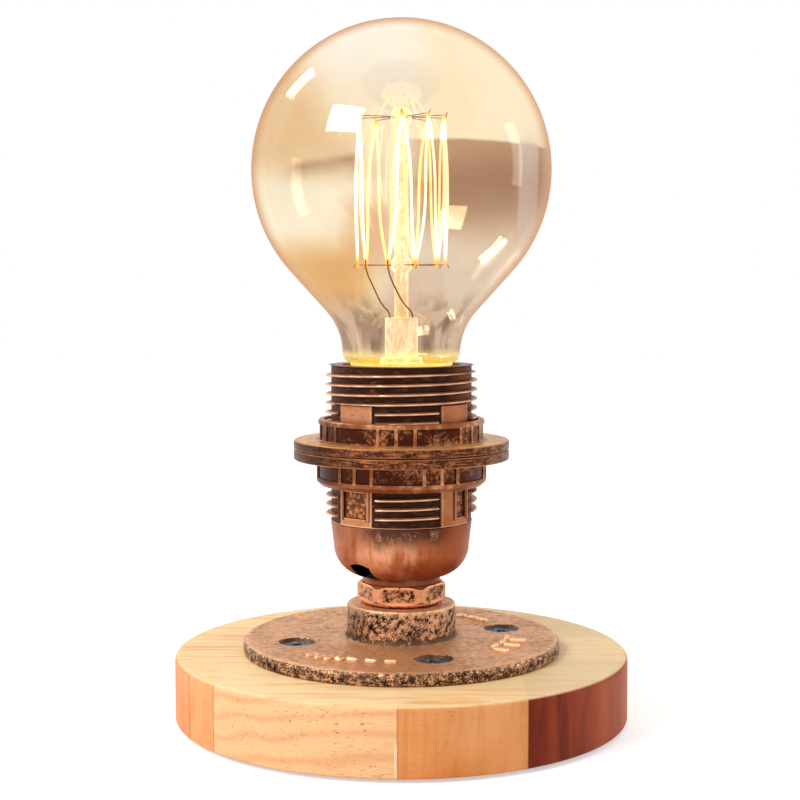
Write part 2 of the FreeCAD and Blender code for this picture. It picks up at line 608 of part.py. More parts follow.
# ---- globe bulb: one blown envelope, thin all over, from the crown round to the stub inside the cap ----
keep("bulb_glass", turned(
    "envelope",
    [("stub_radius - glass_wall", "stub_low"), ("stub_radius", "stub_low"), ("stub_radius", "glass_seat"),
     ("neck_radius - shoulder_radius", "glass_seat"), ("neck_radius", "neck_height"),
     ("neck_join_radius", "neck_join_height"), ("globe_join_radius", "globe_join_height"),
     ("0", "globe_height + globe_radius"), ("0", "globe_height + globe_radius - glass_wall"),
     ("globe_join_radius - glass_wall * cos(neck_slope * 1deg)",
      "globe_join_height + glass_wall * sin(neck_slope * 1deg)"),
     ("neck_join_radius - glass_wall * cos(neck_slope * 1deg)",
      "neck_join_height + glass_wall * sin(neck_slope * 1deg)"),
     ("neck_radius - glass_wall", "neck_height"),
     ("neck_radius - shoulder_radius", "glass_seat + glass_wall"),
     ("stub_radius - glass_wall", "glass_seat + glass_wall")],
    {3: ("shoulder_radius", 1), 4: ("neck_fillet", -1), 6: ("globe_radius", 1),
     8: ("globe_radius - glass_wall", -1), 10: ("neck_fillet + glass_wall", 1),
     11: ("shoulder_radius - glass_wall", -1)}))

# the screwed brass cap, rolled from thin sheet and flared at its rim, and the cement that holds it
keep("bulb_cap", turned(
    "cap_shell",
    [("cap_inner", "cap_low_edge"), ("cap_radius", "cap_low_edge"), ("cap_radius", "cap_rim - rim_height"),
     ("cap_radius + rim_flare", "cap_rim - rim_height / 2"), ("cap_radius + rim_flare", "cap_rim"),
     ("cap_inner + rim_flare", "cap_rim"), ("cap_inner + rim_flare", "cap_rim - rim_height / 2"),
     ("cap_inner", "cap_rim - rim_height")]))
keep("cap_cement", turned(
    "cement_ring",
    [("stub_radius + seat_gap", "stub_low"), ("cap_inner - seat_gap", "stub_low"),
     ("cap_inner - seat_gap", "cap_rim - cement_below_rim"),
     ("stub_radius + seat_gap", "cap_rim - cement_below_rim")]))

# black glass insulator at the cap's end and the contact button under it
keep("cap_insulator", turned(
    "insulator_cone",
    [("button_stem_radius + seat_gap", "button_top"), ("cone_radius", "button_top"),
     ("cap_radius", "cap_low_edge - seat_gap"), ("cap_inner - seat_gap", "cap_low_edge - seat_gap"),
     ("cap_inner - seat_gap", "cap_low_edge + crimp_height"),
     ("cap_inner - cone_wall", "cap_low_edge + crimp_height"),
     ("cone_radius - cone_wall", "button_top + cone_wall"),
     ("button_stem_radius + seat_gap", "button_top + cone_wall")]))
keep("centre_button", turned(
    "button",
    [("0", "button_low"), ("button_radius - button_bevel", "button_low"),
     ("button_radius", "button_low + button_bevel"), ("button_radius", "button_top - seat_gap"),
     ("button_stem_radius", "button_top - seat_gap"), ("button_stem_radius", "button_top + cone_wall"),
     ("0", "button_top + cone_wall")]))

# glass stem: a flare fused to the stub, drawn in to a flat press that seals the wires
flare = turned(
    "stem_flare",
    [("stub_radius - flare_rim", "flare_low"), ("stub_radius", "flare_low"), ("stub_radius", "flare_top"),
     ("stub_radius - flare_rim / 2", "flare_top"), ("flare_knee_radius", "flare_low + flare_knee_height"),
     ("flare_top_radius", "press_low"), ("0", "press_low"), ("0", "stem_ceiling"),
     ("flare_top_radius - flare_wall", "stem_ceiling"),
     ("flare_knee_radius - flare_wall", "flare_low + flare_knee_height - flare_wall / 2")])
press = padded(
    "stem_press",
    [("press_edge - press_width / 2", "-press_depth / 2"),
     ("press_width / 2 - press_edge", "-press_depth / 2"),
     ("press_width / 2 - press_edge", "press_depth / 2"),
     ("press_edge - press_width / 2", "press_depth / 2")],
    "press_height", {1: ("press_edge_radius", 1), 3: ("press_edge_radius", 1)}, "XY_Plane", "press_low")
keep("glass_stem", joined("stem", [flare, press]))

# glass rod on the press, with a pressed button at each end of the cage for the support wires
keep("glass_rod", turned(
    "rod_turning",
    [("0", "press_top"), ("rod_radius", "press_top"), ("rod_radius", "hooks_bottom - rod_button_height"),
     ("rod_button_radius", "hooks_bottom - rod_button_height / 2"),
     ("rod_button_radius", "hooks_bottom + rod_button_height / 2"),
     ("rod_radius", "hooks_bottom + rod_button_height"), ("rod_radius", "hooks_top - rod_button_height"),
     ("rod_button_radius", "hooks_top - rod_button_height / 2"),
     ("rod_button_radius", "hooks_top + rod_button_height / 2"), ("rod_radius", "rod_top"),
     ("0", "rod_top")]))

# support wires: the filament turns over the upper ones and under the lower ones
hook_count = int(value("hook_count"))
step = value("cage_step_angle")
top_azimuths = [value("cage_first_angle") + step * (k + 0.5) for k in range(hook_count)]
low_azimuths = [value("cage_first_angle") + step * k for k in range(1, hook_count)]
for name, azimuths, height in (("support_wires_top", top_azimuths, "hooks_top"),
                               ("support_wires_bottom", low_azimuths, "hooks_bottom")):
    wires = [spoke(f"{name}_{k}", "support_radius", "cage_radius + support_past - rod_button_radius", height,
                   "rod_button_radius", azimuth) for k, azimuth in enumerate(azimuths)]
    keep(name, joined(name + "_set", wires, "Part::Compound"))


# ---- squirrel cage filament: one carbon thread, up and down between the two rings of supports ----
def cage_corners():
    """The zigzag's corners, set out past the supports so that each rounded turn is centred on its wire."""
    height = value("hooks_top") - value("hooks_bottom")
    stride = 2 * value("cage_radius") * math.sin(math.radians(step / 4))
    rise = value("hook_radius") * height / (stride - 2 * value("hook_radius"))
    corners = []
    for k in range(2 * hook_count + 1):
        level = value("hooks_top") + rise if k % 2 else value("hooks_bottom") - rise
        corners.append(polar(value("cage_radius"), value("cage_first_angle") + step / 2 * k, level))
    return corners


def on_level(start, end, level):
    """The point of the line from start to end at that height."""
    return start + (end - start) * ((level - start.z) / (end.z - start.z))


corners = cage_corners()
first_end = on_level(corners[0], corners[1], value("hooks_bottom"))
last_end = on_level(corners[-1], corners[-2], value("hooks_bottom"))
thread = doc.addObject("Part::Feature", "filament_thread")
turns = [eased(before, corner, after, value("hook_radius"), int(value("turn_side_count")))
         for before, corner, after in zip(corners, corners[1:], corners[2:])]
thread_points = [first_end] + [point for turn in turns for point in turn] + [last_end]
thread.Shape = wire_solid(thread_points, value("filament_radius"))
starts = [first_end] + [turn[-1] for turn in turns]
runs = [Part.makeLine(start, end) for start, end in zip(starts, [turn[0] for turn in turns] + [last_end])]
least = min(one.distToShape(other)[0] for k, one in enumerate(runs) for other in runs[k + 1:])
print(f"filament: least gap to itself {least - 2 * value('filament_radius'):.2f} mm")
keep("filament", thread)

# lead wires from the press to the two ends of the filament, and their outer ends down inside the stem
leads, outer_leads = [], []
for side, end, corner in ((1.0, first_end, corners[1]), (-1.0, last_end, corners[-2])):
    foot = V(side * value("lead_spacing"), 0, value("press_top"))
    bend = foot + V(0, 0, value("lead_straight"))
    clamp = end - (corner - end).normalize() * value("lead_clamp")
    lead = doc.addObject("Part::Feature", f"lead_{len(leads)}")
    lead.Shape = wire_solid([foot, bend, clamp, end], value("lead_radius"))
    leads.append(lead)
    outer_leads.append(rod(f"outer_lead_{len(leads)}", "lead_radius", "outer_lead_length",
                           "stem_ceiling - outer_lead_length", f"{side} * lead_spacing"))
keep("lead_wires", joined("lead_set", leads, "Part::Compound"))
keep("outer_leads", joined("outer_lead_set", outer_leads, "Part::Compound"))

# ---- check and write -----------------------------------------------------------------------------
doc.recompute()
for thing in doc.Objects:
    if "Invalid" in thing.State or "Error" in thing.State:
        raise RuntimeError(f"{thing.Name} failed: {thing.State}")
for name, thing in nodes.items():
    if thing.Shape.isNull() or not thing.Shape.isValid() or not thing.Shape.Solids:
        raise RuntimeError(f"{name} has no valid solid")
os.makedirs("parts", exist_ok=True)
for name, thing in nodes.items():
    thing.Shape.exportStep(f"parts/{name}.step")
print(f"{len(nodes)} sub-parts, {sum(len(thing.Shape.Solids) for thing in nodes.values())} solids")
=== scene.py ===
import cmath
import math
from types import SimpleNamespace as Sizes

import bmesh
import bpy
import numpy as np
from mathutils import Matrix, Vector, noise


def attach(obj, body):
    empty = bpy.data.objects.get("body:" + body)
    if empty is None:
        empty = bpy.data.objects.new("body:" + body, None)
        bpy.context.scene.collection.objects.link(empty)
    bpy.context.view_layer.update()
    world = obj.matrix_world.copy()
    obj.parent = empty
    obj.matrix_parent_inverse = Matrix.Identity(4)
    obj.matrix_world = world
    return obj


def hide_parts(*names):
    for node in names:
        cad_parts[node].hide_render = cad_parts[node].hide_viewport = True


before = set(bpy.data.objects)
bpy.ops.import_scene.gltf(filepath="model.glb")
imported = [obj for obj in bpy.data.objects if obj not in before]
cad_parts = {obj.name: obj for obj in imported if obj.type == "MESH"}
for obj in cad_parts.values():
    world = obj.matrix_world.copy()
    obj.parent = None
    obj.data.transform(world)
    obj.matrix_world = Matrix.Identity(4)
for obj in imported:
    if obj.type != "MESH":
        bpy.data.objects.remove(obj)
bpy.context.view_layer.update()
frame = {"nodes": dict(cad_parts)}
nodes = frame["nodes"]

# ---- wooden base ------------------------------------------------------------------------------------
# A disc turned from a panel of beech staves that were glued up end to end, sanded and oiled. It
# stands on four stick-on feet. The hole drilled in its back edge is the cord's way in.
MM = 0.001
FRONT = -math.pi / 2
BOARD = Sizes(radius=60.0, low=1.0, top=18.0, bore=8.0, pocket=16.0, ceiling=11.5)
INLET = Sizes(radius=3.5, height=6.5)

# the two long glue lines and each row's butt joints, in metres, and a colour for each stave, row by row.
# The dark stave's colour is the wood's own red-brown, darkened further by painted shade
ROWS = (-0.012, 0.026)
JOINTS = ((-0.0531, -0.0458, -0.0010, 0.0298), (-0.030, 0.012), (-0.015, 0.040))
STAVES = ((236, 150, 88), (242, 160, 98), (252, 198, 146), (232, 148, 82), (140, 44, 12), (236, 164, 104),
          (232, 158, 98), (238, 168, 108), (234, 158, 96), (226, 146, 84), (236, 164, 104))
DARK, STRIPED, FLAT_SAWN = 4, 3, (2, 6)
SEAM, LONG_SEAM = 0.00016, 0.00012


def tint(red, green, blue):
    """A colour written as it is seen, 0 to 255, as the shaders take it."""
    return tuple(c / 12.92 if c <= 0.04045 else ((c + 0.055) / 1.055) ** 2.4
                 for c in (red / 255, green / 255, blue / 255))


class Value:
    """A socket of a node tree, with Python's operators standing for Math nodes."""

    def __init__(self, nodes, socket):
        self.nodes, self.socket = nodes, socket

    def math(self, operation, *others):
        return self.nodes.node("ShaderNodeMath", {"operation": operation}, dict(enumerate((self,) + others)))

    def __add__(self, other):
        return self.math("ADD", other)

    __radd__ = __add__

    def __mul__(self, other):
        return self.math("MULTIPLY", other)

    __rmul__ = __mul__

    def __sub__(self, other):
        return self.math("SUBTRACT", other)

    def __rsub__(self, other):
        return (self * -1.0).math("ADD", other)

    def __truediv__(self, other):
        return self.math("DIVIDE", other)

    def __pow__(self, other):
        return self.math("POWER", other)

    def __gt__(self, other):
        return self.math("GREATER_THAN", other)

    def __lt__(self, other):
        return self.math("LESS_THAN", other)

    def __abs__(self):
        return self.math("ABSOLUTE")

    def ease(self, low, high):
        """0 up to low, 1 from high, and a smooth step between."""
        return self.nodes.node("ShaderNodeMapRange", {"interpolation_type": "SMOOTHSTEP"},
                               {"Value": self, "From Min": low, "From Max": high})


class Nodes:
    """A node tree, and the one way in which nodes are added to it."""

    def __init__(self, tree):
        self.tree = tree

    def node(self, kind, settings=None, inputs=None, output=0):
        made = self.tree.nodes.new(kind)
        for name, setting in (settings or {}).items():
            if name == "stops":
                ends = made.color_ramp.elements[0], made.color_ramp.elements[1]
                for element, stop in zip(ends, (setting[0], setting[-1])):
                    element.position, element.color = stop[0], (*stop[1], 1.0)
                for place, colour in setting[1:-1]:
                    made.color_ramp.elements.new(place).color = (*colour, 1.0)
            elif name == "interpolation":
                made.color_ramp.interpolation = setting
            else:
                setattr(made, name, setting)
        for name, given in (inputs or {}).items():
            if isinstance(given, Value):
                self.tree.links.new(given.socket, made.inputs[name])
            else:
                made.inputs[name].default_value = given
        return Value(self, made.outputs[output] if made.outputs else None)

    def mix(self, share, low, high):
        """A colour between low and high."""
        colours = [given if isinstance(given, Value) else (*given, 1.0) for given in (low, high)]
        return self.node("ShaderNodeMix", {"data_type": "RGBA"}, {0: share, 6: colours[0], 7: colours[1]}, 2)

    def layered(self, colour, *layers):
        """The colour with others laid over it in turn, each a share and a colour or tint's three numbers."""
        for share, *laid in layers:
            colour = self.mix(share, colour, tint(*laid) if len(laid) == 3 else laid[0])
        return colour

    def grain(self, scale, place=None, detail=3.0, rough=0.55, distort=0.0):
        """Noise at so many features a metre, as a number round 0.5."""
        inputs = {"Scale": scale, "Detail": detail, "Roughness": rough, "Distortion": distort}
        inputs["Vector"] = self.place if place is None else place
        return self.node("ShaderNodeTexNoise", None, inputs)

    def bump(self, height, strength, distance):
        inputs = {"Height": height, "Strength": strength, "Distance": distance}
        return self.node("ShaderNodeBump", None, inputs)


class Finish(Nodes):
    """A material. place is the point of the object, and x, y, z are its numbers, in metres."""

    def __init__(self, name):
        self.material = bpy.data.materials.new(name)
        self.material.use_nodes = True
        super().__init__(self.material.node_tree)
        self.tree.nodes.clear()
        self.place = self.node("ShaderNodeTexCoord", None, None, "Object")
        parts = [self.node("ShaderNodeSeparateXYZ", None, {0: self.place}, k) for k in range(3)]
        self.x, self.y, self.z = parts

    def radius(self):
        """The distance from the lamp's axis."""
        return (self.x * self.x + self.y * self.y) ** 0.5

    def up(self):
        """1 where the surface faces up, 0 where it stands upright, -1 below."""
        normal = self.node("ShaderNodeNewGeometry", None, None, "Normal")
        return self.node("ShaderNodeSeparateXYZ", None, {0: normal}, 2)

    def proud(self):
        """How far the surface stands out from what is round it, from 0 to 1, as mark_edges keeps it."""
        return self.node("ShaderNodeAttribute", {"attribute_name": "proud"}, None, "Fac")

    def edge_on(self, blend=0.5):
        """0 where the surface is seen straight on, and up to 1 where it is seen edge on."""
        return self.node("ShaderNodeLayerWeight", None, {"Blend": blend}, "Facing")

    def stretched(self, x, y, z):
        """The point with each of its numbers given anew."""
        return self.node("ShaderNodeCombineXYZ", None, {0: x, 1: y, 2: z})

    def scaled(self, x=1.0, y=1.0, z=1.0):
        """The point with its numbers scaled, so that a pattern is drawn out along an axis."""
        parts = ((self.x, x), (self.y, y), (self.z, z))
        return self.stretched(*(part if factor == 1.0 else part * factor for part, factor in parts))

    def surface(self, **inputs):
        """The plain shader, with sockets named as in Blender but for the spaces."""
        names = {name.replace("_", " "): given for name, given in inputs.items()}
        for name, given in names.items():
            if isinstance(given, tuple) and len(given) == 3:
                names[name] = (*given, 1.0)
        return self.node("ShaderNodeBsdfPrincipled", None, names)

    def show(self, shader):
        self.node("ShaderNodeOutputMaterial", None, {"Surface": shader})
        return self.material

    def finished(self, **inputs):
        """The material, with the plain shader as its surface."""
        return self.show(self.surface(**inputs))


def rounded(corners, sides=6):
    """An outline through (radius, height) corners, each rounded where it has a third number."""
    spots = [complex(*corner[:2]) for corner in corners]
    points = []
    for index, corner in enumerate(corners):
        here = spots[index]
        if len(corner) < 3:
            points.append(here)
            continue
        back = spots[index - 1] - here
        ahead = spots[(index + 1) % len(spots)] - here
        back, ahead = back / abs(back), ahead / abs(ahead)
        half = abs(cmath.phase(ahead / back)) / 2
        middle = here + (back + ahead) / abs(back + ahead) * corner[2] / math.sin(half)
        start = here + back * corner[2] / math.tan(half) - middle
        sweep = cmath.phase((here + ahead * corner[2] / math.tan(half) - middle) / start)
        points += [middle + start * cmath.rect(1.0, sweep * k / sides) for k in range(sides + 1)]
    return [(point.real, point.imag) for point in points]


def spaced(outline, longest):
    """The closed outline with points added so that no side is longer than that."""
    points = []
    for start, end in zip(outline, outline[1:] + outline[:1]):
        parts = max(1, math.ceil(math.dist(start, end) / longest))
        points += [tuple(a + (b - a) * k / parts for a, b in zip(start, end)) for k in range(parts)]
    return points


def ringed(name, rings, turns):
    """A closed mesh from rings of (radius or radii, height) in mm, at the angles in turns."""
    turns = np.asarray(turns)
    rows = []
    for radius, height in rings:
        reach = np.broadcast_to(radius, turns.shape)
        level = np.broadcast_to(height, turns.shape)
        rows.append(np.stack([reach * np.cos(turns), reach * np.sin(turns), level], 1))
    points = np.concatenate(rows) * MM
    count, across = len(rings), len(turns)
    row, column = np.meshgrid(np.arange(count), np.arange(across), indexing="ij")
    next_row, next_column = (row + 1) % count, (column + 1) % across
    corners = [row * across + column, row * across + next_column, next_row * across + next_column,
               next_row * across + column]
    faces = np.stack(corners, -1).reshape(-1, 4)
    mesh = bpy.data.meshes.new(name)
    mesh.from_pydata(points.tolist(), [], faces.tolist())
    return tidied(mesh)


def smoothed(mesh, sharp=38.0):
    """The mesh shaded smooth, but for edges sharper than that many degrees."""
    mesh.shade_smooth()
    mesh.set_sharp_from_angle(angle=math.radians(sharp))
    return mesh


def tidied(mesh, sharp=38.0):
    """Merges what meets, turns the faces outwards, and shades the mesh smooth up to an angle."""
    bm = bmesh.new()
    bm.from_mesh(mesh)
    bmesh.ops.remove_doubles(bm, verts=bm.verts, dist=1e-7)
    bmesh.ops.dissolve_degenerate(bm, edges=bm.edges, dist=1e-8)
    bmesh.ops.recalc_face_normals(bm, faces=bm.faces)
    bm.to_mesh(mesh)
    bm.free()
    return smoothed(mesh, sharp)


def lathed(name, outline, steps=160):
    """A mesh turned about the lamp's axis from a closed outline in mm."""
    return ringed(name, outline, np.arange(steps) * 2 * math.pi / steps)


def in_scene(name, data):
    """A new object of that data, linked to the scene."""
    thing = bpy.data.objects.new(name, data)
    bpy.context.scene.collection.objects.link(thing)
    return thing


def applied(thing):
    """A plain mesh of the object as its modifiers leave it."""
    return bpy.data.meshes.new_from_object(thing.evaluated_get(bpy.context.evaluated_depsgraph_get()))


def put(name, mesh, finish):
    """Puts a finished mesh into the scene as one piece of the lamp."""
    mesh.name = name
    mesh.materials.clear()
    mesh.materials.append(finish)
    return in_scene(name, mesh)


def dress(finish, *names):
    """Gives its finish to each CAD node that shows as it is."""
    for name in names:
        nodes[name].data.materials.clear()
        nodes[name].data.materials.append(finish)


def carved(mesh, cutters, operation="DIFFERENCE"):
    """The mesh with the space of the cutters' meshes taken out, or kept with INTERSECT."""
    blank = in_scene("blank", mesh)
    tools = []
    for cutter in cutters:
        tools.append(in_scene("cutter", cutter))
        step = blank.modifiers.new("carve", "BOOLEAN")
        step.operation, step.solver, step.object = operation, "EXACT", tools[-1]
    shaped = applied(blank)
    for thing in [blank] + tools:
        bpy.data.objects.remove(thing)
    return smoothed(shaped)


def moved(mesh, place):
    """The mesh carried by a matrix."""
    mesh.transform(place)
    return mesh


def upright(radius, azimuth, height):
    """The matrix that stands a thing at that place in mm and turns it to its azimuth."""
    middle = Vector((radius * math.cos(azimuth), radius * math.sin(azimuth), height)) * MM
    return Matrix.Translation(middle) @ Matrix.Rotation(azimuth, 4, "Z")


board_outline = rounded([(BOARD.bore, BOARD.ceiling), (BOARD.pocket, BOARD.ceiling, 1.0),
                         (BOARD.pocket, BOARD.low, 0.4), (BOARD.radius, BOARD.low, 0.8),
                         (BOARD.radius, BOARD.top, 1.3), (BOARD.bore, BOARD.top, 0.3)])
inlet_bit = lathed("inlet_bit", [(0.0, 0.0), (INLET.radius, 0.0), (INLET.radius, 52.0), (0.0, 52.0)], 40)
inlet_bit.transform(Matrix.Translation((0, 0.012, INLET.height * MM)) @ Matrix.Rotation(FRONT, 4, "X"))
board_mesh = carved(lathed("board", spaced(board_outline, 6.0), 288), [inlet_bit])

wood = Finish("oiled_beech")
row = (wood.y > ROWS[0]) + (wood.y > ROWS[1])
stave = 0.0
first = 0
for index, joints in enumerate(JOINTS):
    count = sum((wood.x > joint for joint in joints[1:]), wood.x > joints[0])
    stave = (abs(row - float(index)) < 0.5) * (count + float(first)) + stave
    first += len(joints) + 1


def on_stave(number):
    """1 on the stave of that number, and 0 on the others."""
    return abs(stave - float(number)) < 0.5


stops = [((k + 0.5) / len(STAVES) if k else 0.0, tint(*colour)) for k, colour in enumerate(STAVES)]
tone = wood.node("ShaderNodeValToRGB", {"stops": stops, "interpolation": "CONSTANT"},
                 {0: (stave + 0.75) / float(len(STAVES))})
flat_sawn = on_stave(FLAT_SAWN[0]) + on_stave(FLAT_SAWN[1])
# the dark stave: red-brown wood, its depth partly painted shade
dark_shaded_stave = on_stave(DARK)

# the year rings, each stave's with a start of its own, and the fibres and pores along them
drift = wood.grain(30.0, wood.stretched(wood.x * 0.35, wood.y + stave * 0.31, wood.z + stave * 0.17), 2.0)
fine_drift = wood.grain(150.0, wood.stretched(wood.x * 0.3 + stave, wood.y, wood.z), 3.0)
depth = wood.y * (1.0 - flat_sawn) + wood.z * flat_sawn + wood.y * flat_sawn * 0.18
ring_phase = depth * 1050.0 + drift * 22.0 + fine_drift * 3.0 + stave * 1.7
rings = ring_phase.math("SINE") * 0.5 + 0.5
fibres = wood.grain(2600.0, wood.stretched(wood.x * 0.06 + stave * 0.7, wood.y, wood.z), 4.0, 0.6)
pores = wood.grain(2300.0, wood.stretched(wood.x * 0.22 + stave * 0.7, wood.y, wood.z), 2.0, 0.5)
pores = pores.ease(0.60, 0.72)
bands = rings ** 3.0 * (0.26 + dark_shaded_stave * 0.20) + fibres.ease(0.45, 0.75) * 0.24
upright_place = wood.stretched(wood.x + stave * 0.3, wood.y * 0.6, wood.z * 0.10)
upright_bands = wood.grain(420.0, upright_place, 4.0, 0.62, 0.8)
broad_bands = wood.grain(110.0, upright_place, 3.0, 0.5, 0.6)
warm = wood.grain(45.0, wood.scaled(x=0.5), 2.0)
fleck_patch = wood.grain(90.0, None, 2.0).ease(0.35, 0.60)

# the dark lines between staves, a thread of pale glue beside one, and the sanded top, its right part
# painted lighter as painted light where the holder shades it
seam_lines = 0.0
for index, joints in enumerate(JOINTS):
    near = sum((abs(wood.x - joint) < SEAM for joint in joints[1:]), abs(wood.x - joints[0]) < SEAM)
    seam_lines = (abs(row - float(index)) < 0.5) * near + seam_lines
seam_lines = seam_lines + (abs(wood.y - ROWS[0]) < LONG_SEAM) + (abs(wood.y - ROWS[1]) < LONG_SEAM)
glue = abs(wood.x + 0.0014 + (fine_drift - 0.5) * 0.0016) < 0.00032
glue = glue * (wood.y < ROWS[0]) * wood.z.ease(0.0105, 0.0080)
sanded_top = wood.up().ease(0.55, 0.95)
top_streaks = wood.grain(380.0, wood.scaled(x=0.10), 5.0, 0.62, 0.4)
top_colour = wood.layered(tint(255, 226, 172), (top_streaks.ease(0.46, 0.70) * 0.75, 238, 164, 94),
                          (wood.x.ease(0.020, 0.045) * 0.6, 255, 234, 186))
reddish = broad_bands.ease(0.40, 0.64) * 0.30 + wood.x.ease(0.036, 0.058) * 0.50
# the wood's colour in layers; the last darkens the faces turned down, as painted shade
colour = wood.layered(tone, (bands, wood.mix(dark_shaded_stave, tint(190, 98, 44), tint(86, 22, 6))),
                      (on_stave(STRIPED) * upright_bands.ease(0.42, 0.68) * 0.55, 206, 112, 54),
                      (dark_shaded_stave * upright_bands.ease(0.42, 0.62) * 0.55, 88, 20, 4),
                      (dark_shaded_stave * reddish, 198, 94, 46),
                      (warm.ease(0.35, 0.7) * 0.30 * (1.0 - dark_shaded_stave), 255, 200, 138),
                      (pores * fleck_patch * (0.20 + flat_sawn * 0.45), 150, 82, 38),
                      (seam_lines * (0.5 - sanded_top * 0.38), 150, 84, 44),
                      (glue * 0.6, 252, 232, 206),
                      (sanded_top * 0.84, top_colour),
                      (wood.up().ease(-0.5, -0.9) * 0.3, 170, 112, 66))
wood_finish = wood.finished(Base_Color=colour, Roughness=0.44 + fibres * 0.12, Specular_IOR_Level=0.14,
                            Normal=wood.bump(fibres * 0.6 + rings * 0.4 - pores, 0.25, 0.0004))
board = put("wood_base", board_mesh, wood_finish)
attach(board, "holder")
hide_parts("base_board")


# the four stick-on feet: black foam, cut from sheet
foam = Finish("black_foam")
cells = foam.grain(3500.0, None, 2.0)
dress(foam.finished(Base_Color=foam.mix(cells, tint(18, 18, 19), tint(44, 43, 42)), Roughness=0.9,
                    Normal=foam.bump(cells, 0.5, 0.0003)), "foot_pads")


# ---- cast iron floor flange -------------------------------------------------------------------------
# A sand-cast round plate with a bored hub, painted near black and rubbed with bronze on its high
# places. Four screws hold it to the base, and plain raised pips stand round it from the casting.
PLATE = Sizes(radius=42.0, low=18.0, top=21.6, bore=10.5)
HUB = Sizes(radius=14.45, top=30.7)
SINKS = Sizes(circle=28.5, first=math.radians(16.6), count=4, hole=2.6, mouth=4.9)
CAST_GRAIN = 0.11


def lumpy(mesh, height, size, seed):
    """Pushes each point along its normal by smooth noise, both sizes in mm."""
    normals = [vertex.normal.copy() for vertex in mesh.vertices]
    for vertex, normal in zip(mesh.vertices, normals):
        place = vertex.co * (1000.0 / size) + Vector((seed, 0, 0))
        vertex.co += normal * noise.noise(place) * height * MM
    return mesh


def mark_edges(mesh, sharpest=0.35):
    """Keeps in the mesh how far each point stands proud of its neighbours, 0 to 1, as "proud"."""
    count = len(mesh.vertices)
    spots = np.empty(count * 3)
    mesh.vertices.foreach_get("co", spots)
    spots = spots.reshape(-1, 3)
    facing = np.array([vertex.normal for vertex in mesh.vertices])
    ends = np.empty(len(mesh.edges) * 2, int)
    mesh.edges.foreach_get("vertices", ends)
    start, end = ends.reshape(-1, 2).T
    along = spots[end] - spots[start]
    along /= np.maximum(np.linalg.norm(along, axis=1, keepdims=True), 1e-12)
    fall, number = np.zeros(count), np.zeros(count)
    for here, way in ((start, along), (end, -along)):
        np.add.at(fall, here, -(facing[here] * way).sum(1))
        np.add.at(number, here, 1)
    proud = mesh.attributes.new("proud", "FLOAT", "POINT")
    proud.data.foreach_set("value", np.clip(0.5 + fall / np.maximum(number, 1) / (2 * sharpest), 0, 1))
    return mesh


def pattern_tree():
    """A geometry tree that stands a part round the lamp's axis, in groups, on a blank mesh."""
    group = bpy.data.node_groups.new("round_the_axis", "GeometryNodeTree")
    for name, kind in (("Blank", "Geometry"), ("Part", "Object"), ("Count", "Int"), ("Group", "Int"),
                       ("Radius", "Float"), ("Height", "Float"), ("First", "Float"), ("Step", "Float"),
                       ("Group Step", "Float"), ("Finish", "Material")):
        group.interface.new_socket(name, in_out="INPUT", socket_type="NodeSocket" + kind)
    group.interface.new_socket("Result", in_out="OUTPUT", socket_type="NodeSocketGeometry")
    tree = Nodes(group)
    given = group.nodes.new("NodeGroupInput")
    size = {socket.name: Value(tree, socket) for socket in given.outputs if socket.name}
    index = tree.node("GeometryNodeInputIndex")
    block = (index / size["Group"]).math("FLOOR")
    azimuth = size["First"] + block * size["Group Step"] + (index - block * size["Group"]) * size["Step"]
    across, along = (azimuth.math(kind) * size["Radius"] for kind in ("COSINE", "SINE"))
    spot = tree.node("ShaderNodeCombineXYZ", None, {0: across, 1: along, 2: size["Height"]})
    facing = tree.node("ShaderNodeCombineXYZ", None, {2: azimuth})
    spots = tree.node("GeometryNodePoints", None, {"Count": size["Count"], "Position": spot})
    part = tree.node("GeometryNodeObjectInfo", None, {"Object": size["Part"]}, "Geometry")
    standing = tree.node("GeometryNodeInstanceOnPoints", None,
                         {"Points": spots, "Instance": part, "Rotation": facing})
    loose = tree.node("GeometryNodeRealizeInstances", None, {"Geometry": standing})
    both = group.nodes.new("GeometryNodeJoinGeometry")
    group.links.new(loose.socket, both.inputs[0])
    group.links.new(size["Blank"].socket, both.inputs[0])
    done = tree.node("GeometryNodeSetMaterial", None,
                     {"Geometry": Value(tree, both.outputs[0]), "Material": size["Finish"]})
    result = group.nodes.new("NodeGroupOutput")
    group.links.new(done.socket, result.inputs[0])
    return group


round_the_axis = pattern_tree()


def around(blank, part, finish, count, radius, height, first, step, group=1, group_step=None):
    """The blank mesh with a part's mesh repeated round the axis. Lengths are in mm, angles in radians."""
    carrier = in_scene("carrier", blank or bpy.data.meshes.new("nothing"))
    pattern = in_scene("pattern", part)
    modifier = carrier.modifiers.new("around", "NODES")
    modifier.node_group = round_the_axis
    sizes = {"Part": pattern, "Count": count, "Group": group, "Radius": radius * MM, "Height": height * MM,
             "First": first, "Step": step, "Group Step": step if group_step is None else group_step,
             "Finish": finish}
    for socket in round_the_axis.interface.items_tree:
        if socket.name in sizes:
            modifier[socket.identifier] = sizes[socket.name]
    carrier.update_tag()
    made = applied(carrier)
    carrier.modifiers.clear()
    for thing in (carrier, pattern):
        bpy.data.objects.remove(thing)
    return made


def from_bmesh(bm, name):
    """A new mesh of that BMesh, which is freed."""
    mesh = bpy.data.meshes.new(name)
    bm.to_mesh(mesh)
    bm.free()
    return mesh


def joined(*meshes):
    """One mesh of several that keep their own surfaces."""
    bm = bmesh.new()
    for mesh in meshes:
        bm.from_mesh(mesh)
    return smoothed(from_bmesh(bm, "joined"))


def block(size, middle):
    """A BMesh of a plain block, its size along x, y and z and its middle in mm."""
    bm = bmesh.new()
    bmesh.ops.create_cube(bm, size=1.0)
    bmesh.ops.scale(bm, vec=[length * MM for length in size], verts=bm.verts)
    bmesh.ops.translate(bm, vec=[length * MM for length in middle], verts=bm.verts)
    return bm


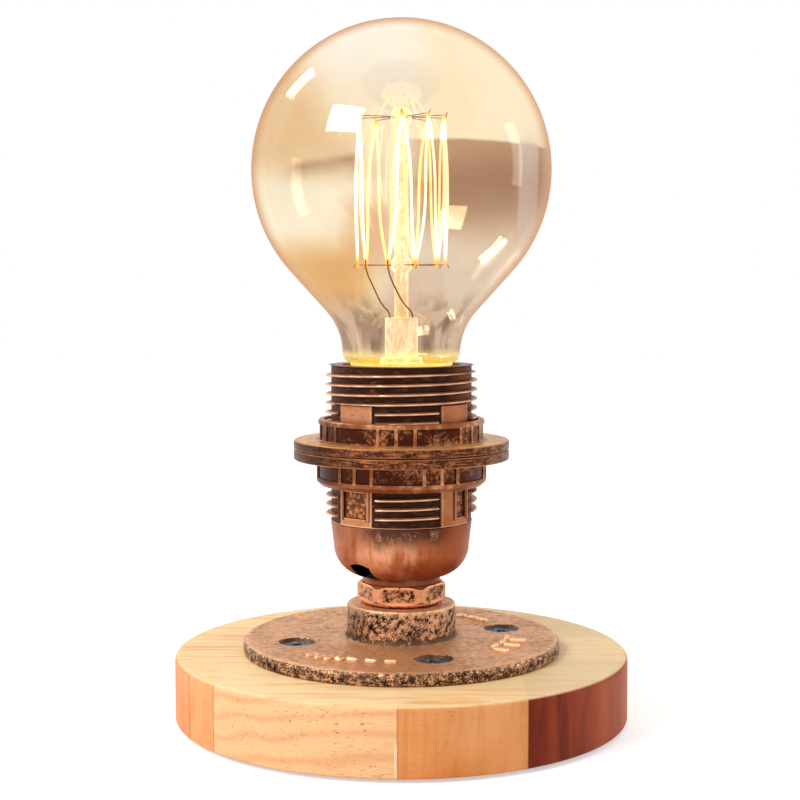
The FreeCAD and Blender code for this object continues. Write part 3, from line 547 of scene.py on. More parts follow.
def pip(length, width, height, buried=0.4):
    """A low cast pip with rounded ends, long across its radius, standing on z = 0."""
    bm = block((width, length, height + buried), (0, 0, (height - buried) / 2))
    edges = [edge for edge in bm.edges if max(vertex.co.z for vertex in edge.verts) > 0]
    softened = min(width, length, 2 * height) * 0.42 * MM
    bmesh.ops.bevel(bm, geom=edges, offset=softened, segments=4, profile=0.5, affect="EDGES",
                    clamp_overlap=True)
    mesh = from_bmesh(bm, "pip")
    mesh.shade_smooth()
    return mesh


def cast_iron(name, top, flecks, dark, hollows=None):
    """Dark cast metal, rubbed with bronze: fine flecks on its walls, an even tan where it lies flat."""
    made = Finish(name)
    sand = made.grain(2300.0, None, 4.0, 0.65)
    coarse = made.grain(620.0, None, 4.0, 0.6)
    cloud = made.grain(120.0, None, 2.0)
    proud = made.proud()
    rubbed = (sand * 0.62 + coarse * 0.42 + (proud - 0.5) * 1.3 + (cloud - 0.5) * 0.25).ease(0.43, 0.62)
    worn = (sand * 0.50 + coarse * 0.35 + cloud * 0.25 + (proud - 0.5) * 0.9).ease(0.38, 0.66)
    flat = made.up().ease(0.6, 0.97)
    edge = (proud + (sand - 0.5) * 0.2).ease(0.58, 0.72)
    pit = (proud + (coarse - 0.5) * 0.2).ease(0.42, 0.26)
    flats = made.mix(worn, [a * 0.55 + b * 0.45 for a, b in zip(dark, top)], top)
    colour = made.layered(made.mix(rubbed, dark, flecks), (flat, flats),
                          (edge * 0.9, [min(1.0, c * 1.35) for c in flecks]), (pit * 0.35, dark))
    if hollows is not None:
        # on the flange: the plate's rim wall kept dark, a painted highlight in a ring round the hub's foot,
        # painted shade down the hub's left side, and the countersinks dark
        rim = made.radius().ease(0.0410, 0.0416) * (1.0 - flat) * (sand * 0.6 + coarse * 0.5).ease(0.66, 0.52)
        foot = made.radius().ease(0.0185, 0.0155) * made.z.ease(0.0250, 0.0225)
        hub_left_shade = made.x.ease(-0.0060, -0.0120) * made.radius().ease(0.0155, 0.0148) * (1.0 - flat)
        colour = made.layered(colour, (rim * 0.85, dark), (foot * (0.15 + rubbed * 0.35), 226, 170, 126),
                              (hub_left_shade * (1.0 - rubbed * 0.5) * 0.8, dark), (hollows(made) * 0.88, dark))
    return made.finished(Base_Color=colour, Metallic=0.45 + rubbed * 0.30, Roughness=0.50 - rubbed * 0.14,
                         Specular_IOR_Level=0.10, Normal=made.bump(sand * 0.7 + coarse * 0.5, 0.45, 0.0005))


def by_the_screws(finish):
    """1 on the walls of the four countersinks, and 0 a little outside them."""
    nearest = 1.0
    for k in range(SINKS.count):
        azimuth = SINKS.first + k * math.pi / 2
        across = finish.x - SINKS.circle * MM * math.cos(azimuth)
        along = finish.y - SINKS.circle * MM * math.sin(azimuth)
        away = (across * across + along * along) ** 0.5
        nearest = away.math("MINIMUM", nearest)
    ragged = nearest + (finish.grain(900.0, None, 3.0) - 0.5) * 0.0012
    return ragged.ease((SINKS.mouth + 0.25) * MM, (SINKS.mouth - 0.15) * MM)


flange_outline = rounded([(PLATE.bore, PLATE.low), (PLATE.radius, PLATE.low, 0.6),
                          (PLATE.radius, PLATE.top, 1.3), (HUB.radius, PLATE.top, 1.5),
                          (HUB.radius, HUB.top, 0.6), (PLATE.bore, HUB.top, 0.3)])
casting = lumpy(lathed("flange", spaced(flange_outline, 0.9), 320), CAST_GRAIN, 1.6, 3.0)
sink_outline = [(0.0, -6.0), (SINKS.hole, -6.0), (SINKS.hole, SINKS.hole - SINKS.mouth),
                (SINKS.mouth + 1.2, 1.2), (0.0, 1.2)]
sink_bits = [moved(lathed("sink", sink_outline, 48),
                   upright(SINKS.circle, SINKS.first + k * math.pi / 2, PLATE.top))
             for k in range(SINKS.count)]
casting = carved(casting, sink_bits)
flange_finish = cast_iron("cast_bronze_iron", tint(228, 166, 116), tint(232, 178, 138), tint(34, 18, 12),
                          by_the_screws)

# each row of pips: a pip's length, width and height, then the row's radius, count, first angle and step
PIPS = (((1.3, 4.2, 0.9), 33.0, 3, -133.0, 5.0), ((3.0, 1.5, 0.9), 31.6, 3, -113.0, 9.0),
        ((2.2, 2.8, 0.9), 32.0, 1, -119.0, 9.0), ((1.5, 4.8, 0.9), 31.5, 3, -36.0, 11.0),
        ((3.2, 1.5, 0.9), 28.2, 3, -31.0, 11.0), ((3.2, 1.8, 0.8), 29.0, 3, 38.0, 8.0))
for size, radius, count, first, step in PIPS:
    bars = around(None, pip(*size), flange_finish, count, radius, PLATE.top, math.radians(first),
                  math.radians(step))
    casting = joined(casting, bars)
flange = put("cast_flange", mark_edges(casting), flange_finish)
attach(flange, "holder")
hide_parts("floor_flange")

# the four wood screws: countersunk heads with a cross recess, blued steel
SCREW = Sizes(head=4.1, shank=2.0, top=20.85, recess=(2.1, 1.0), wing=0.42, recess_deep=1.3)
steel = Finish("blued_steel")
scuffs = steel.grain(1600.0, steel.scaled(y=0.3), 4.0)
steel_colour = steel.mix(scuffs.ease(0.42, 0.68), tint(52, 60, 74), tint(138, 148, 162))
steel_finish = steel.finished(Base_Color=steel_colour, Metallic=0.75, Roughness=0.38 + scuffs * 0.25,
                              Normal=steel.bump(scuffs, 0.3, 0.0003))
screw_outline = rounded([(0.0, -15.0), (SCREW.shank, -13.0), (SCREW.shank, SCREW.shank - SCREW.head),
                         (SCREW.head, 0.0, 0.25), (0.0, 0.0)])
screw_blank = lathed("screw", spaced(screw_outline, 0.8), 48)
recess = []
for turn in (0.5, 0.5 + math.pi / 2):
    bm = bmesh.new()
    bmesh.ops.create_cube(bm, size=1.0)
    for vertex in bm.verts:
        above = vertex.co.z > 0
        half = SCREW.recess[0 if above else 1]
        corner = (math.copysign(half, vertex.co.x), math.copysign(SCREW.wing, vertex.co.y))
        vertex.co = Vector((*corner, 0.6 if above else -SCREW.recess_deep)) * MM
    bmesh.ops.rotate(bm, matrix=Matrix.Rotation(turn, 3, "Z"), verts=bm.verts)
    recess.append(from_bmesh(bm, "wing"))
screw_mesh = around(None, carved(screw_blank, recess), steel_finish, SINKS.count, SINKS.circle,
                    SCREW.top, SINKS.first, math.pi / 2)
screws = put("flange_wood_screws", tidied(screw_mesh), steel_finish)
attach(screws, "holder")
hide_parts("flange_screws")

# ---- hexagon bushing --------------------------------------------------------------------------------
# A malleable iron reducing bushing: a hexagon head on a short turned neck, its plug screwed into the
# hub. The head's corners are chamfered, and the finish is the flange's with more of the dark left.
BUSH = Sizes(flats=21.0, low=31.7, top=36.3, neck=10.7, corner=11.8, turn=math.radians(-3.9), bore=5.1,
             plug=10.4, plug_low=19.7)


def hexagon_bar(flats, low, top, turn):
    """A hexagonal bar in mm with a flat towards the front before it is turned."""
    bm = bmesh.new()
    reach = flats / 2 / math.cos(math.pi / 6)
    corners = [turn + k * math.pi / 3 for k in range(6)]
    rims = [[bm.verts.new((reach * math.cos(a) * MM, reach * math.sin(a) * MM, level * MM)) for a in corners]
            for level in (low, top)]
    for k in range(6):
        bm.faces.new((rims[0][k], rims[0][k - 5], rims[1][k - 5], rims[1][k]))
    bm.faces.new(rims[0][::-1])
    bm.faces.new(rims[1])
    bmesh.ops.recalc_face_normals(bm, faces=bm.faces)
    upright_edges = [edge for edge in bm.edges if abs(edge.verts[0].co.z - edge.verts[1].co.z) > 1e-6]
    bmesh.ops.bevel(bm, geom=upright_edges, offset=0.4 * MM, segments=3, profile=0.5, affect="EDGES")
    bmesh.ops.triangulate(bm, faces=[face for face in bm.faces if len(face.verts) > 4])
    bmesh.ops.subdivide_edges(bm, edges=bm.edges, cuts=5, use_grid_fill=True)
    return from_bmesh(bm, "hexagon")


turning = lathed("turning", rounded([(BUSH.bore, BUSH.low), (BUSH.corner - 0.9, BUSH.low),
                                     (BUSH.corner, BUSH.low + 0.6, 0.3),
                                     (BUSH.corner, BUSH.top - 0.6, 0.3),
                                     (BUSH.corner - 0.9, BUSH.top), (BUSH.bore, BUSH.top)]), 96)
hexagon_head = carved(hexagon_bar(BUSH.flats, BUSH.low, BUSH.top, BUSH.turn), [turning], "INTERSECT")
plug_outline = rounded([(BUSH.bore, BUSH.plug_low), (BUSH.plug, BUSH.plug_low, 0.4),
                        (BUSH.plug, HUB.top - 0.3), (BUSH.plug - 0.4, HUB.top),
                        (BUSH.neck - 0.4, HUB.top + 0.2), (BUSH.neck, HUB.top + 0.6, 0.3),
                        (BUSH.neck, BUSH.low + 0.1), (BUSH.bore, BUSH.low + 0.1)])
bush_mesh = joined(hexagon_head, lathed("plug", spaced(plug_outline, 1.5), 96))
bush_finish = cast_iron("bushing_iron", tint(214, 150, 104), tint(222, 154, 110), tint(58, 24, 12))
bushing = put("reducing_bushing", mark_edges(lumpy(bush_mesh, 0.05, 1.2, 9.0)), bush_finish)
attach(bushing, "holder")
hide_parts("hex_bushing")

# the hollow nipple through the bushing and the cap, and its locknut, both zinc plated
zinc = Finish("plated_zinc")
zinc_cloud = zinc.grain(500.0, None, 4.0)
zinc_thread = ((zinc.z * (2000.0 * math.pi)).math("SINE") * 0.5 + 0.5) * (zinc.radius() > 0.0045)
dress(zinc.finished(Base_Color=zinc.mix(zinc_cloud, tint(150, 148, 140), tint(196, 194, 186)), Metallic=0.9,
                    Roughness=0.34 + zinc_cloud * 0.12, Normal=zinc.bump(zinc_thread, 0.5, 0.0004)),
      "threaded_nipple", "nipple_locknut")

# ---- lampholder cap ---------------------------------------------------------------------------------
# The moulded dome of the lampholder, finished in antique bronze: dark lacquer, rubbed through to
# copper on its proud edges, with a painted copper highlight down its middle. The nipple's locknut
# clamps it, and two arched slots open its side.
DOME = Sizes(low=36.3, neck=10.3, tube=8.4, centre=9.6, height=46.5, mouth=18.75, seam=52.8, collar=16.9,
             top=58.1, bore=15.3, hole=5.15, inside=40.8)
SLOT = Sizes(width=6.7, low=38.3, side=3.8, arch=7.0, turn=math.radians(-41.6), start=10.6)


def antique_bronze(name, copper, face, dark, patches):
    """Bronzed lacquer: dark in its hollows, brown on its faces and copper on its proud edges.

    Returns the finish with its colour, its relief and its rubbed edges, for a piece to add its own wear.
    """
    made = Finish(name)
    proud = made.proud()
    cloud = made.grain(110.0, None, 3.0)
    rubbing = made.grain(900.0, made.scaled(z=2.5), 4.0, 0.6)
    speck = made.grain(4200.0, None, 2.0)
    edge = (proud + (rubbing - 0.5) * 0.30 + (cloud - 0.5) * 0.12).ease(0.56, 0.78)
    hollow = (proud + (cloud - 0.5) * 0.10).ease(0.47, 0.30)
    colour = made.layered(face, (cloud.ease(0.35, 0.65), [a * 0.72 + b * 0.28 for a, b in zip(face, copper)]),
                          ((rubbing * 0.6 + cloud * 0.5).ease(0.60, 0.76) * patches, dark),
                          (speck.ease(0.60, 0.70) * 0.30, copper), (edge, copper), (hollow * 0.85, dark))
    return made, colour, made.bump(speck * 0.3 + rubbing * 0.7, 0.18, 0.0003), edge


outer_dome = [(DOME.centre + DOME.tube * math.cos(a), DOME.height + DOME.tube * math.sin(a))
              for a in (math.radians(-85 + 85 * k / 14) for k in range(15))]
inner_dome = [(DOME.centre + (DOME.bore - DOME.centre) * math.cos(a),
               DOME.height + (DOME.height - DOME.inside) * math.sin(a))
              for a in (math.radians(-90 * k / 10) for k in range(11))]
dome_corners = [(DOME.hole, DOME.low), (DOME.neck, DOME.low, 0.3)] + outer_dome
dome_corners += [(DOME.mouth, DOME.seam, 0.3), (DOME.collar, DOME.seam),
                 (DOME.collar, DOME.top, 0.4), (DOME.bore, DOME.top)]
dome_outline = rounded(dome_corners + inner_dome + [(DOME.hole, DOME.inside)])
slot_edge = [(-SLOT.width / 2, SLOT.low), (SLOT.width / 2, SLOT.low)]
arch_half = math.asin(SLOT.width / 2 / SLOT.arch)
arch_middle = SLOT.low + SLOT.side - SLOT.arch * math.cos(arch_half)
slot_edge += [(SLOT.arch * math.sin(a), arch_middle + SLOT.arch * math.cos(a))
              for a in (arch_half * (1 - k / 5) for k in range(11))]
slot_bits = []
for turn in (FRONT + SLOT.turn, FRONT + SLOT.turn + math.pi):
    bm = bmesh.new()
    near, far = ([bm.verts.new((reach * MM, -side * MM, level * MM)) for side, level in slot_edge]
                 for reach in (SLOT.start, 30.0))
    for k in range(len(slot_edge)):
        bm.faces.new((near[k - 1], near[k], far[k], far[k - 1]))
    bm.faces.new(near)
    bm.faces.new(far[::-1])
    bmesh.ops.recalc_face_normals(bm, faces=bm.faces)
    slot_bits.append(moved(from_bmesh(bm, "slot_bit"), Matrix.Rotation(turn, 4, "Z")))
dome = carved(lathed("dome", spaced(dome_outline, 0.9), 200), slot_bits)

# the cap's colours: a little copper wear all round and a painted copper highlight in a band down its
# middle, painted shade in darker orange on its right, scratched through smoke in front, and darker
# streaks towards the bottom
made, colour, relief, edge = antique_bronze("bronzed_cap", tint(214, 142, 98), tint(146, 66, 20),
                                            tint(50, 18, 8), 0.5)
brushed = made.grain(260.0, made.scaled(z=0.25), 5.0, 0.62)
broad = made.grain(70.0, made.scaled(z=0.6), 3.0)
scratched = made.grain(1500.0, made.scaled(z=0.5), 5.0, 0.7)
worn = (brushed * 0.7 + broad * 0.4).ease(0.44, 0.66)
painted_highlight = made.x.ease(0.010, 0.000) * made.x.ease(-0.0165, -0.0070)
front = made.y.ease(0.002, -0.010) * made.x.ease(-0.0145, -0.0060) * made.x.ease(0.0150, 0.0070)
smoke = brushed * 0.55 + broad * 0.25 + scratched * 0.25 + made.z.ease(0.0430, 0.0530) * 0.36
smoke = smoke.ease(0.64, 0.90)
glint = (scratched * 0.45 + brushed * 0.55).ease(0.50, 0.66) * front * made.z.ease(0.0460, 0.0490)
dark_low_streaks = (brushed * 0.55 + scratched * 0.2 + made.z.ease(0.0465, 0.0375) * 0.35).ease(0.50, 0.78)
dome_height = DOME.height * MM
above = made.z - dome_height
from_tube = ((made.radius() - DOME.centre * MM) ** 2.0 + above * above) ** 0.5
inner = from_tube < (DOME.tube - 0.25) * MM
inner = inner * (made.z < dome_height) + (made.radius() < (DOME.bore + 0.4) * MM) * (made.z > dome_height)
colour = made.layered(colour, (worn * (0.15 + painted_highlight * 0.70), 232, 164, 126),
                      (made.x.ease(0.002, 0.013) * 0.6, 146, 60, 18),
                      (smoke * (front * 0.80 + 0.20) * 0.92, 44, 20, 18),
                      (glint * made.z.ease(0.0530, 0.0510) * 0.50, 222, 164, 126),
                      (dark_low_streaks * 0.65, 98, 36, 10), (inner, 9, 6, 5))
cap_finish = made.finished(Base_Color=colour, Metallic=0.50 + edge * 0.25, Roughness=0.34 + brushed * 0.14,
                           Specular_IOR_Level=0.10, Normal=relief)
holder_cap = put("lampholder_cap", mark_edges(dome), cap_finish)
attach(holder_cap, "holder")
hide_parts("holder_cap")

# ---- lampholder skirt -------------------------------------------------------------------------------
# The outer shell that the shade rings screw on: a thread all round above and broken by four smooth
# panels below, with a window sunk beside each rib. It screws over the cap's collar and bears on it.
SKIRT = Sizes(low=52.8, top=94.1, root=18.55, crest=20.1, panel=18.9, bore=17.0, room=14.25, room_low=64.1,
              mouth=15.8, mouth_low=89.1)
THREAD = Sizes(pitch=2.433, front=91.9, tip=0.13, base=0.58, first=54.3, last=92.6)
PANEL = Sizes(count=4, half=math.radians(17.5), first=FRONT + math.radians(49.5), top=84.4,
              ease=math.radians(2.0), run_out=math.radians(1.4))
RIBBED = Sizes(half=math.radians(0.8), out=0.35, low=54.4, top=62.4, sink=0.7, near=math.radians(-13.6),
               offset=math.radians(-2.5), far=math.radians(13.6))
skirt_levels = np.arange(SKIRT.low + 0.4, SKIRT.top - 0.3, 0.115)
skirt_turns = []
for k in range(PANEL.count):
    rib = math.degrees(RIBBED.near if k % 2 else RIBBED.offset)
    marks = [side * edge for side in (-1, 1) for edge in (15.5, 16.5, 17.5, 18.2, 18.9, 19.9, 20.9)]
    marks += [middle + side * edge for middle in (rib, math.degrees(RIBBED.far)) for side in (-1, 1)
              for edge in (0.0, 0.78, 1.08)]
    marks = sorted(set(marks)) + [90.0 + min(marks)]
    for start, end in zip(marks, marks[1:]):
        parts = math.ceil((end - start) / 2.0)
        skirt_turns += [PANEL.first + math.radians(90.0 * k + start + (end - start) * step / parts)
                        for step in range(parts)]
skirt_turns = np.array(skirt_turns)


def thread_radius(azimuth, level):
    """The skirt's radius in mm at an angle and a height, over arrays of both."""
    count = (THREAD.front + (azimuth - FRONT) / (2 * math.pi) * THREAD.pitch - level) / THREAD.pitch
    away = np.abs(count - np.round(count)) * THREAD.pitch
    rise = np.clip((THREAD.base - away) / (THREAD.base - THREAD.tip), 0, 1)
    rise = rise * rise * (3 - 2 * rise)
    rise *= np.clip((level - THREAD.first) / 0.4, 0, 1) * np.clip((THREAD.last - level) / 0.4, 0, 1)
    sector = 2 * math.pi / PANEL.count
    off = (azimuth - PANEL.first + sector / 2) % sector - sector / 2
    second = np.floor((azimuth - PANEL.first + sector / 2) / sector) % 2 == 0
    below = np.clip((PANEL.top - level) / 0.5, 0, 1)
    in_panel = np.clip((PANEL.half - np.abs(off)) / PANEL.ease, 0, 1) * below
    in_panel = in_panel * in_panel * (3 - 2 * in_panel)
    cut = np.clip((PANEL.half + PANEL.run_out + PANEL.ease - np.abs(off)) / PANEL.ease, 0, 1) * below
    threaded = SKIRT.root + (SKIRT.crest - SKIRT.root) * rise * (1 - cut * cut * (3 - 2 * cut))
    radius = threaded * (1 - in_panel) + SKIRT.panel * in_panel
    near = np.where(second, RIBBED.offset, RIBBED.near)
    beside = np.minimum(np.abs(off - near), np.abs(off - RIBBED.far)) < RIBBED.half
    window = (off > near + RIBBED.half) & (off < RIBBED.far - RIBBED.half)
    beside = beside & (level > RIBBED.low) & (level < RIBBED.top)
    window = window & (level > RIBBED.low + 0.6) & (level < RIBBED.top - 0.6)
    return radius + RIBBED.out * beside - RIBBED.sink * window


skirt_rings = [(SKIRT.panel - 0.5, SKIRT.low), (SKIRT.panel - 0.1, SKIRT.low + 0.12)]
skirt_rings += [(thread_radius(skirt_turns, level), level) for level in skirt_levels]
skirt_rings += rounded([(19.3, SKIRT.top - 0.3), (19.0, SKIRT.top, 0.3),
                        (SKIRT.mouth, SKIRT.top, 0.3), (SKIRT.mouth, SKIRT.mouth_low),
                        (SKIRT.room, SKIRT.mouth_low - 0.4), (SKIRT.room, SKIRT.room_low),
                        (SKIRT.bore, SKIRT.room_low), (SKIRT.bore, SKIRT.low)], 4)[1:]
skirt_mesh = mark_edges(ringed("skirt", skirt_rings, skirt_turns), 0.30)

# the thread's grooves are near black, its flanks brown and its crests rubbed bright; painted shade
# lies on its right side, and a painted copper sheen on the grooves towards both sides
made, colour, relief, _ = antique_bronze("bronzed_skirt", tint(240, 184, 146), tint(180, 108, 62),
                                         tint(34, 16, 12), 0.6)
depth = made.radius()
streak = made.grain(330.0, made.scaled(z=3.0), 4.0)
shaded = made.x.ease(0.0070, 0.0110)
in_groove = depth.ease(0.01874, 0.01862) * (depth > 0.0184)
side_sheen = made.x.ease(0.010, 0.018) * 0.55 + made.x.ease(-0.012, -0.018) * 0.25
groove = made.mix(streak.ease(0.52, 0.76) * 0.7 + side_sheen, tint(13, 6, 6), tint(128, 72, 42))
crest = depth.ease(0.0194, 0.0200)
sunk = (depth < 0.0184) * (depth > 0.0178)
pitted = (made.grain(900.0, None, 4.0) * 0.6 + streak * 0.5).ease(0.44, 0.60)
lip = made.z.ease(0.0934, 0.0937) * (streak * 0.6 + 0.45)
colour = made.layered(colour, (shaded * (0.25 + streak * 0.4), 136, 70, 34), (in_groove * 0.93, groove),
                      (depth.ease(0.0186, 0.0196) * (depth > 0.01895) * 0.8, 150, 92, 64),
                      (crest * (0.55 + streak * 0.6) * (1.0 - shaded * 0.35), 240, 190, 158),
                      (sunk * pitted * 0.85, 62, 30, 16), (lip * 0.9, 62, 34, 34),
                      ((depth < 0.0164) * made.z.ease(0.0655, 0.0640), 20, 15, 13))
skirt_finish = made.finished(Base_Color=colour, Metallic=0.45 + crest * 0.30,
                             Roughness=0.30 + in_groove * 0.20 + streak * 0.1, Specular_IOR_Level=0.07,
                             Normal=relief)
skirt = put("threaded_skirt", skirt_mesh, skirt_finish)
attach(skirt, "holder")
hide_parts("holder_skirt")

# ---- contact block, screw socket and contacts -------------------------------------------------------
# Inside the holder: a glazed block, the brass screw shell that takes the bulb, two terminals under
# the block with their rivets and screws, and the sprung tongue that touches the bulb's button.
glaze = Finish("glazed_ceramic")
crazing = glaze.grain(700.0, None, 4.0)
glaze_finish = glaze.finished(Base_Color=glaze.mix(crazing, tint(214, 206, 188), tint(238, 232, 218)),
                              Coat_Weight=0.3, Roughness=0.28 + crazing * 0.1,
                              Normal=glaze.bump(crazing, 0.1, 0.0003))
dress(glaze_finish, "contact_block")


def drawn_brass(name, lit_from=None):
    """Drawn brass with a little tarnish, warmed by the thread's light above the height lit_from in metres."""
    brass = Finish(name)
    drawn = brass.grain(1400.0, brass.scaled(z=0.1), 3.0)
    tarnish = brass.grain(160.0, None, 4.0)
    colour = brass.mix(tarnish.ease(0.4, 0.7), tint(222, 184, 104), tint(168, 122, 62))
    light = {}
    if lit_from is not None:
        lit = brass.z.ease(lit_from, lit_from + 0.0008) * (0.8 + tarnish * 0.4)
        glow_colour = brass.mix(lit, (0.0, 0.0, 0.0), tint(255, 226, 126))
        light = {"Emission_Color": glow_colour, "Emission_Strength": 0.8}
    return brass.finished(Base_Color=colour, Metallic=1.0, Roughness=0.26 + drawn * 0.14,
                          Normal=brass.bump(drawn, 0.1, 0.0002), **light)


dress(drawn_brass("bright_brass"), "screw_socket", "centre_tongue", "terminal_plates", "terminal_screws",
      "contact_rivets")

# ---- shade rings ------------------------------------------------------------------------------------
# Two moulded rings on the skirt's thread: a broad flange, and a collar with grip ribs in groups of
# three between a sunk band and a rim. The lower one is turned over, so that the flanges meet.
RING = Sizes(bore=20.4, flange=28.5, rib_half=math.radians(1.25), groups=6, rib_step=math.radians(12.5))
UPPER = Sizes(face=71.95, flange_far=74.3, window_far=78.5, end=79.8, rib=22.0, body=21.65, chamfer=0.35,
              turn=math.radians(-16.0))
LOWER = Sizes(face=71.65, flange_far=69.1, window_far=64.5, end=62.4, rib=22.5, body=22.05, chamfer=1.1,
              turn=math.radians(15.0))


def shade_ring(size):
    """One ring as a mesh: a lathed flange, collar and rim, with ribs in groups round the collar."""
    way = math.copysign(1.0, size.end - size.face)
    corners = [(RING.bore, size.face, 0.2), (RING.flange, size.face, 0.35),
               (RING.flange, size.flange_far, 0.55), (size.body + 0.7, size.flange_far, 0.3),
               (size.body, size.flange_far + way * 0.25, 0.2), (size.body, size.window_far),
               (size.rib, size.window_far, 0.15), (size.rib, size.end - way * size.chamfer, 0.3),
               (size.rib - size.chamfer, size.end, 0.2), (RING.bore, size.end, 0.2)]
    blank = lathed("ring", spaced(rounded(corners, 4), 0.7), 288)
    tall = abs(size.window_far - size.flange_far)
    deep = size.rib - size.body + 0.5
    bm = block((deep, 2 * size.rib * RING.rib_half, tall + 0.6), (-deep / 2, 0, 0))
    outer = [edge for edge in bm.edges if min(vertex.co.x for vertex in edge.verts) > -1e-6
             and abs(edge.verts[0].co.z - edge.verts[1].co.z) > 1e-4]
    bmesh.ops.bevel(bm, geom=outer, offset=0.28 * MM, segments=3, profile=0.5, affect="EDGES")
    bmesh.ops.subdivide_edges(bm, edges=[edge for edge in bm.edges if edge.calc_length() > 2 * MM], cuts=4,
                              use_grid_fill=True)
    rib = from_bmesh(bm, "rib")
    rib.shade_smooth()
    middle = (size.window_far + size.flange_far) / 2
    ribbed = around(blank, rib, None, RING.groups * 3, size.rib + 0.02, middle, FRONT + size.turn,
                    RING.rib_step, 3, 2 * math.pi / RING.groups)
    ribbed.set_sharp_from_angle(angle=math.radians(38.0))
    return mark_edges(ribbed, 0.45)


def ring_bronze(name, size):
    """The rings' bronze: faces tan and gold, edges brown with a bright rim, windows dark and flecked, and
    painted shade on their left.
    """
    bronze = (tint(228, 162, 114), tint(136, 74, 42), tint(42, 20, 14))
    made, colour, relief, edge = antique_bronze(name, *bronze, 0.6)
    radius = made.radius()
    level = abs(made.up())
    rubbed = made.grain(520.0, None, 4.0)
    flecks = made.grain(1500.0, None, 4.0, 0.65)
    patch = made.grain(75.0, None, 2.0)
    brushed = made.grain(700.0, made.scaled(0.4, 0.4, 3.0), 4.0, 0.6)
    wall = size.body * MM
    outside_bore = radius > (RING.bore + 0.2) * MM
    face = radius.ease(0.0224, 0.0230) * radius.ease(0.0285, 0.0281) * level.ease(0.6, 0.9)
    golden = made.mix(rubbed.ease(0.35, 0.70), tint(212, 146, 80), tint(238, 186, 116))
    sunk = radius.ease(wall + 0.00025, wall + 0.00012) * outside_bore * (1.0 - level.ease(0.5, 0.8))
    flecked = (flecks * 0.6 + rubbed * 0.4 + patch * 0.9).ease(0.96, 1.22)
    window = made.mix(flecked, tint(58, 18, 6), tint(196, 132, 92))
    band = made.mix((rubbed * 0.5 + patch * 0.6).ease(0.52, 0.68), tint(134, 70, 36), tint(222, 162, 118))
    rim = radius.ease(0.02825, 0.02840) * (1.0 - level.ease(0.3, 0.6))
    rim_rubbed = (brushed * 0.6 + flecks * 0.4).ease(0.44, 0.64)
    rim_colour = made.mix(rim_rubbed, tint(44, 18, 10), tint(176, 108, 72))
    # painted shade on the rims and lower parts at the left
    left_painted_shade = made.x.ease(-0.010, -0.022) * (1.0 - level.ease(0.5, 0.8))
    colour = made.layered(colour, (face * (0.65 + rubbed * 0.4), golden), (sunk * 0.94, window),
                          ((1.0 - sunk) * (radius < wall + 0.0009) * outside_bore * 0.6, band),
                          (rim * 0.9, rim_colour), (left_painted_shade * (1.0 - rubbed * 0.5), 58, 30, 16))
    return made.finished(Base_Color=colour, Metallic=0.48 + edge * 0.3, Roughness=0.32 + rubbed * 0.1,
                         Specular_IOR_Level=0.08, Normal=relief)


for name, body, size in (("upper_ring", "upper_shade_ring", UPPER),
                         ("lower_ring", "lower_shade_ring", LOWER)):
    ring = put("ribbed_" + name, shade_ring(size), ring_bronze("bronzed_" + name, size))
    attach(ring, body)
    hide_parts(name)

# ---- bulb cap ---------------------------------------------------------------------------------------
# The bulb's screw shell, rolled from thin brass with a round thread and a flared rim. Cement holds
# it to the glass, and its lower end is closed by black glass that carries the soldered button.
CAP = Sizes(low=74.55, top=94.65, radius=13.1, rim=13.5, wall=0.35, pitch=3.629, deep=0.75, first=75.4,
            last=91.6)
cap_turns = np.arange(144) * 2 * math.pi / 144
cap_rings = []
for level in np.arange(CAP.low, CAP.top - 1.0, 0.3):
    wave = 0.5 - 0.5 * np.cos(2 * math.pi * ((level - CAP.low) / CAP.pitch - cap_turns / (2 * math.pi)))
    share = min(max((level - CAP.first) / 1.5, 0.0), 1.0) * min(max((CAP.last - level) / 1.0, 0.0), 1.0)
    cap_rings.append((CAP.radius - CAP.deep * share * wave, level))
cap_rim = [(CAP.radius, CAP.top - 1.0), (CAP.rim, CAP.top - 0.6), (CAP.rim, CAP.top),
           (CAP.rim - CAP.wall, CAP.top), (CAP.rim - CAP.wall, CAP.top - 0.6)]
inside_rings = [(radius - CAP.wall, level) for radius, level in reversed(cap_rings)]
lit_brass = drawn_brass("lit_brass", 0.0930)
lit_brass.cycles.emission_sampling = "NONE"
cap_mesh = ringed("bulb_cap", cap_rings + cap_rim + inside_rings, cap_turns)
bulb_cap = put("bulb_screw_shell", cap_mesh, lit_brass)
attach(bulb_cap, "bulb")
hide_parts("bulb_cap")

# the cement, which the thread lights up, the black glass end and the solder of the button
cement = Finish("basing_cement")
grit = cement.grain(2200.0, None, 3.0)
cement_finish = cement.finished(Base_Color=cement.mix(grit, tint(176, 152, 112), tint(214, 192, 148)),
                                Roughness=0.8 + grit * 0.1, Emission_Strength=2.4,
                                Emission_Color=cement.mix(grit, tint(255, 228, 140), tint(255, 242, 186)),
                                Normal=cement.bump(grit, 0.4, 0.0003))
cement_finish.cycles.emission_sampling = "NONE"
black_glass = Finish("black_glass")
swirl = black_glass.grain(300.0, None, 4.0)
black_finish = black_glass.finished(Base_Color=black_glass.mix(swirl, tint(14, 14, 16), tint(36, 34, 38)),
                                    Roughness=0.12 + swirl * 0.1)
solder = Finish("soft_solder")
frost = solder.grain(900.0, None, 4.0)
solder_finish = solder.finished(Base_Color=solder.mix(frost, tint(158, 158, 156), tint(206, 206, 202)),
                                Metallic=0.9, Roughness=0.4 + frost * 0.2,
                                Normal=solder.bump(frost, 0.3, 0.0003))
dress(cement_finish, "cap_cement")
dress(black_finish, "cap_insulator")
dress(solder_finish, "centre_button")


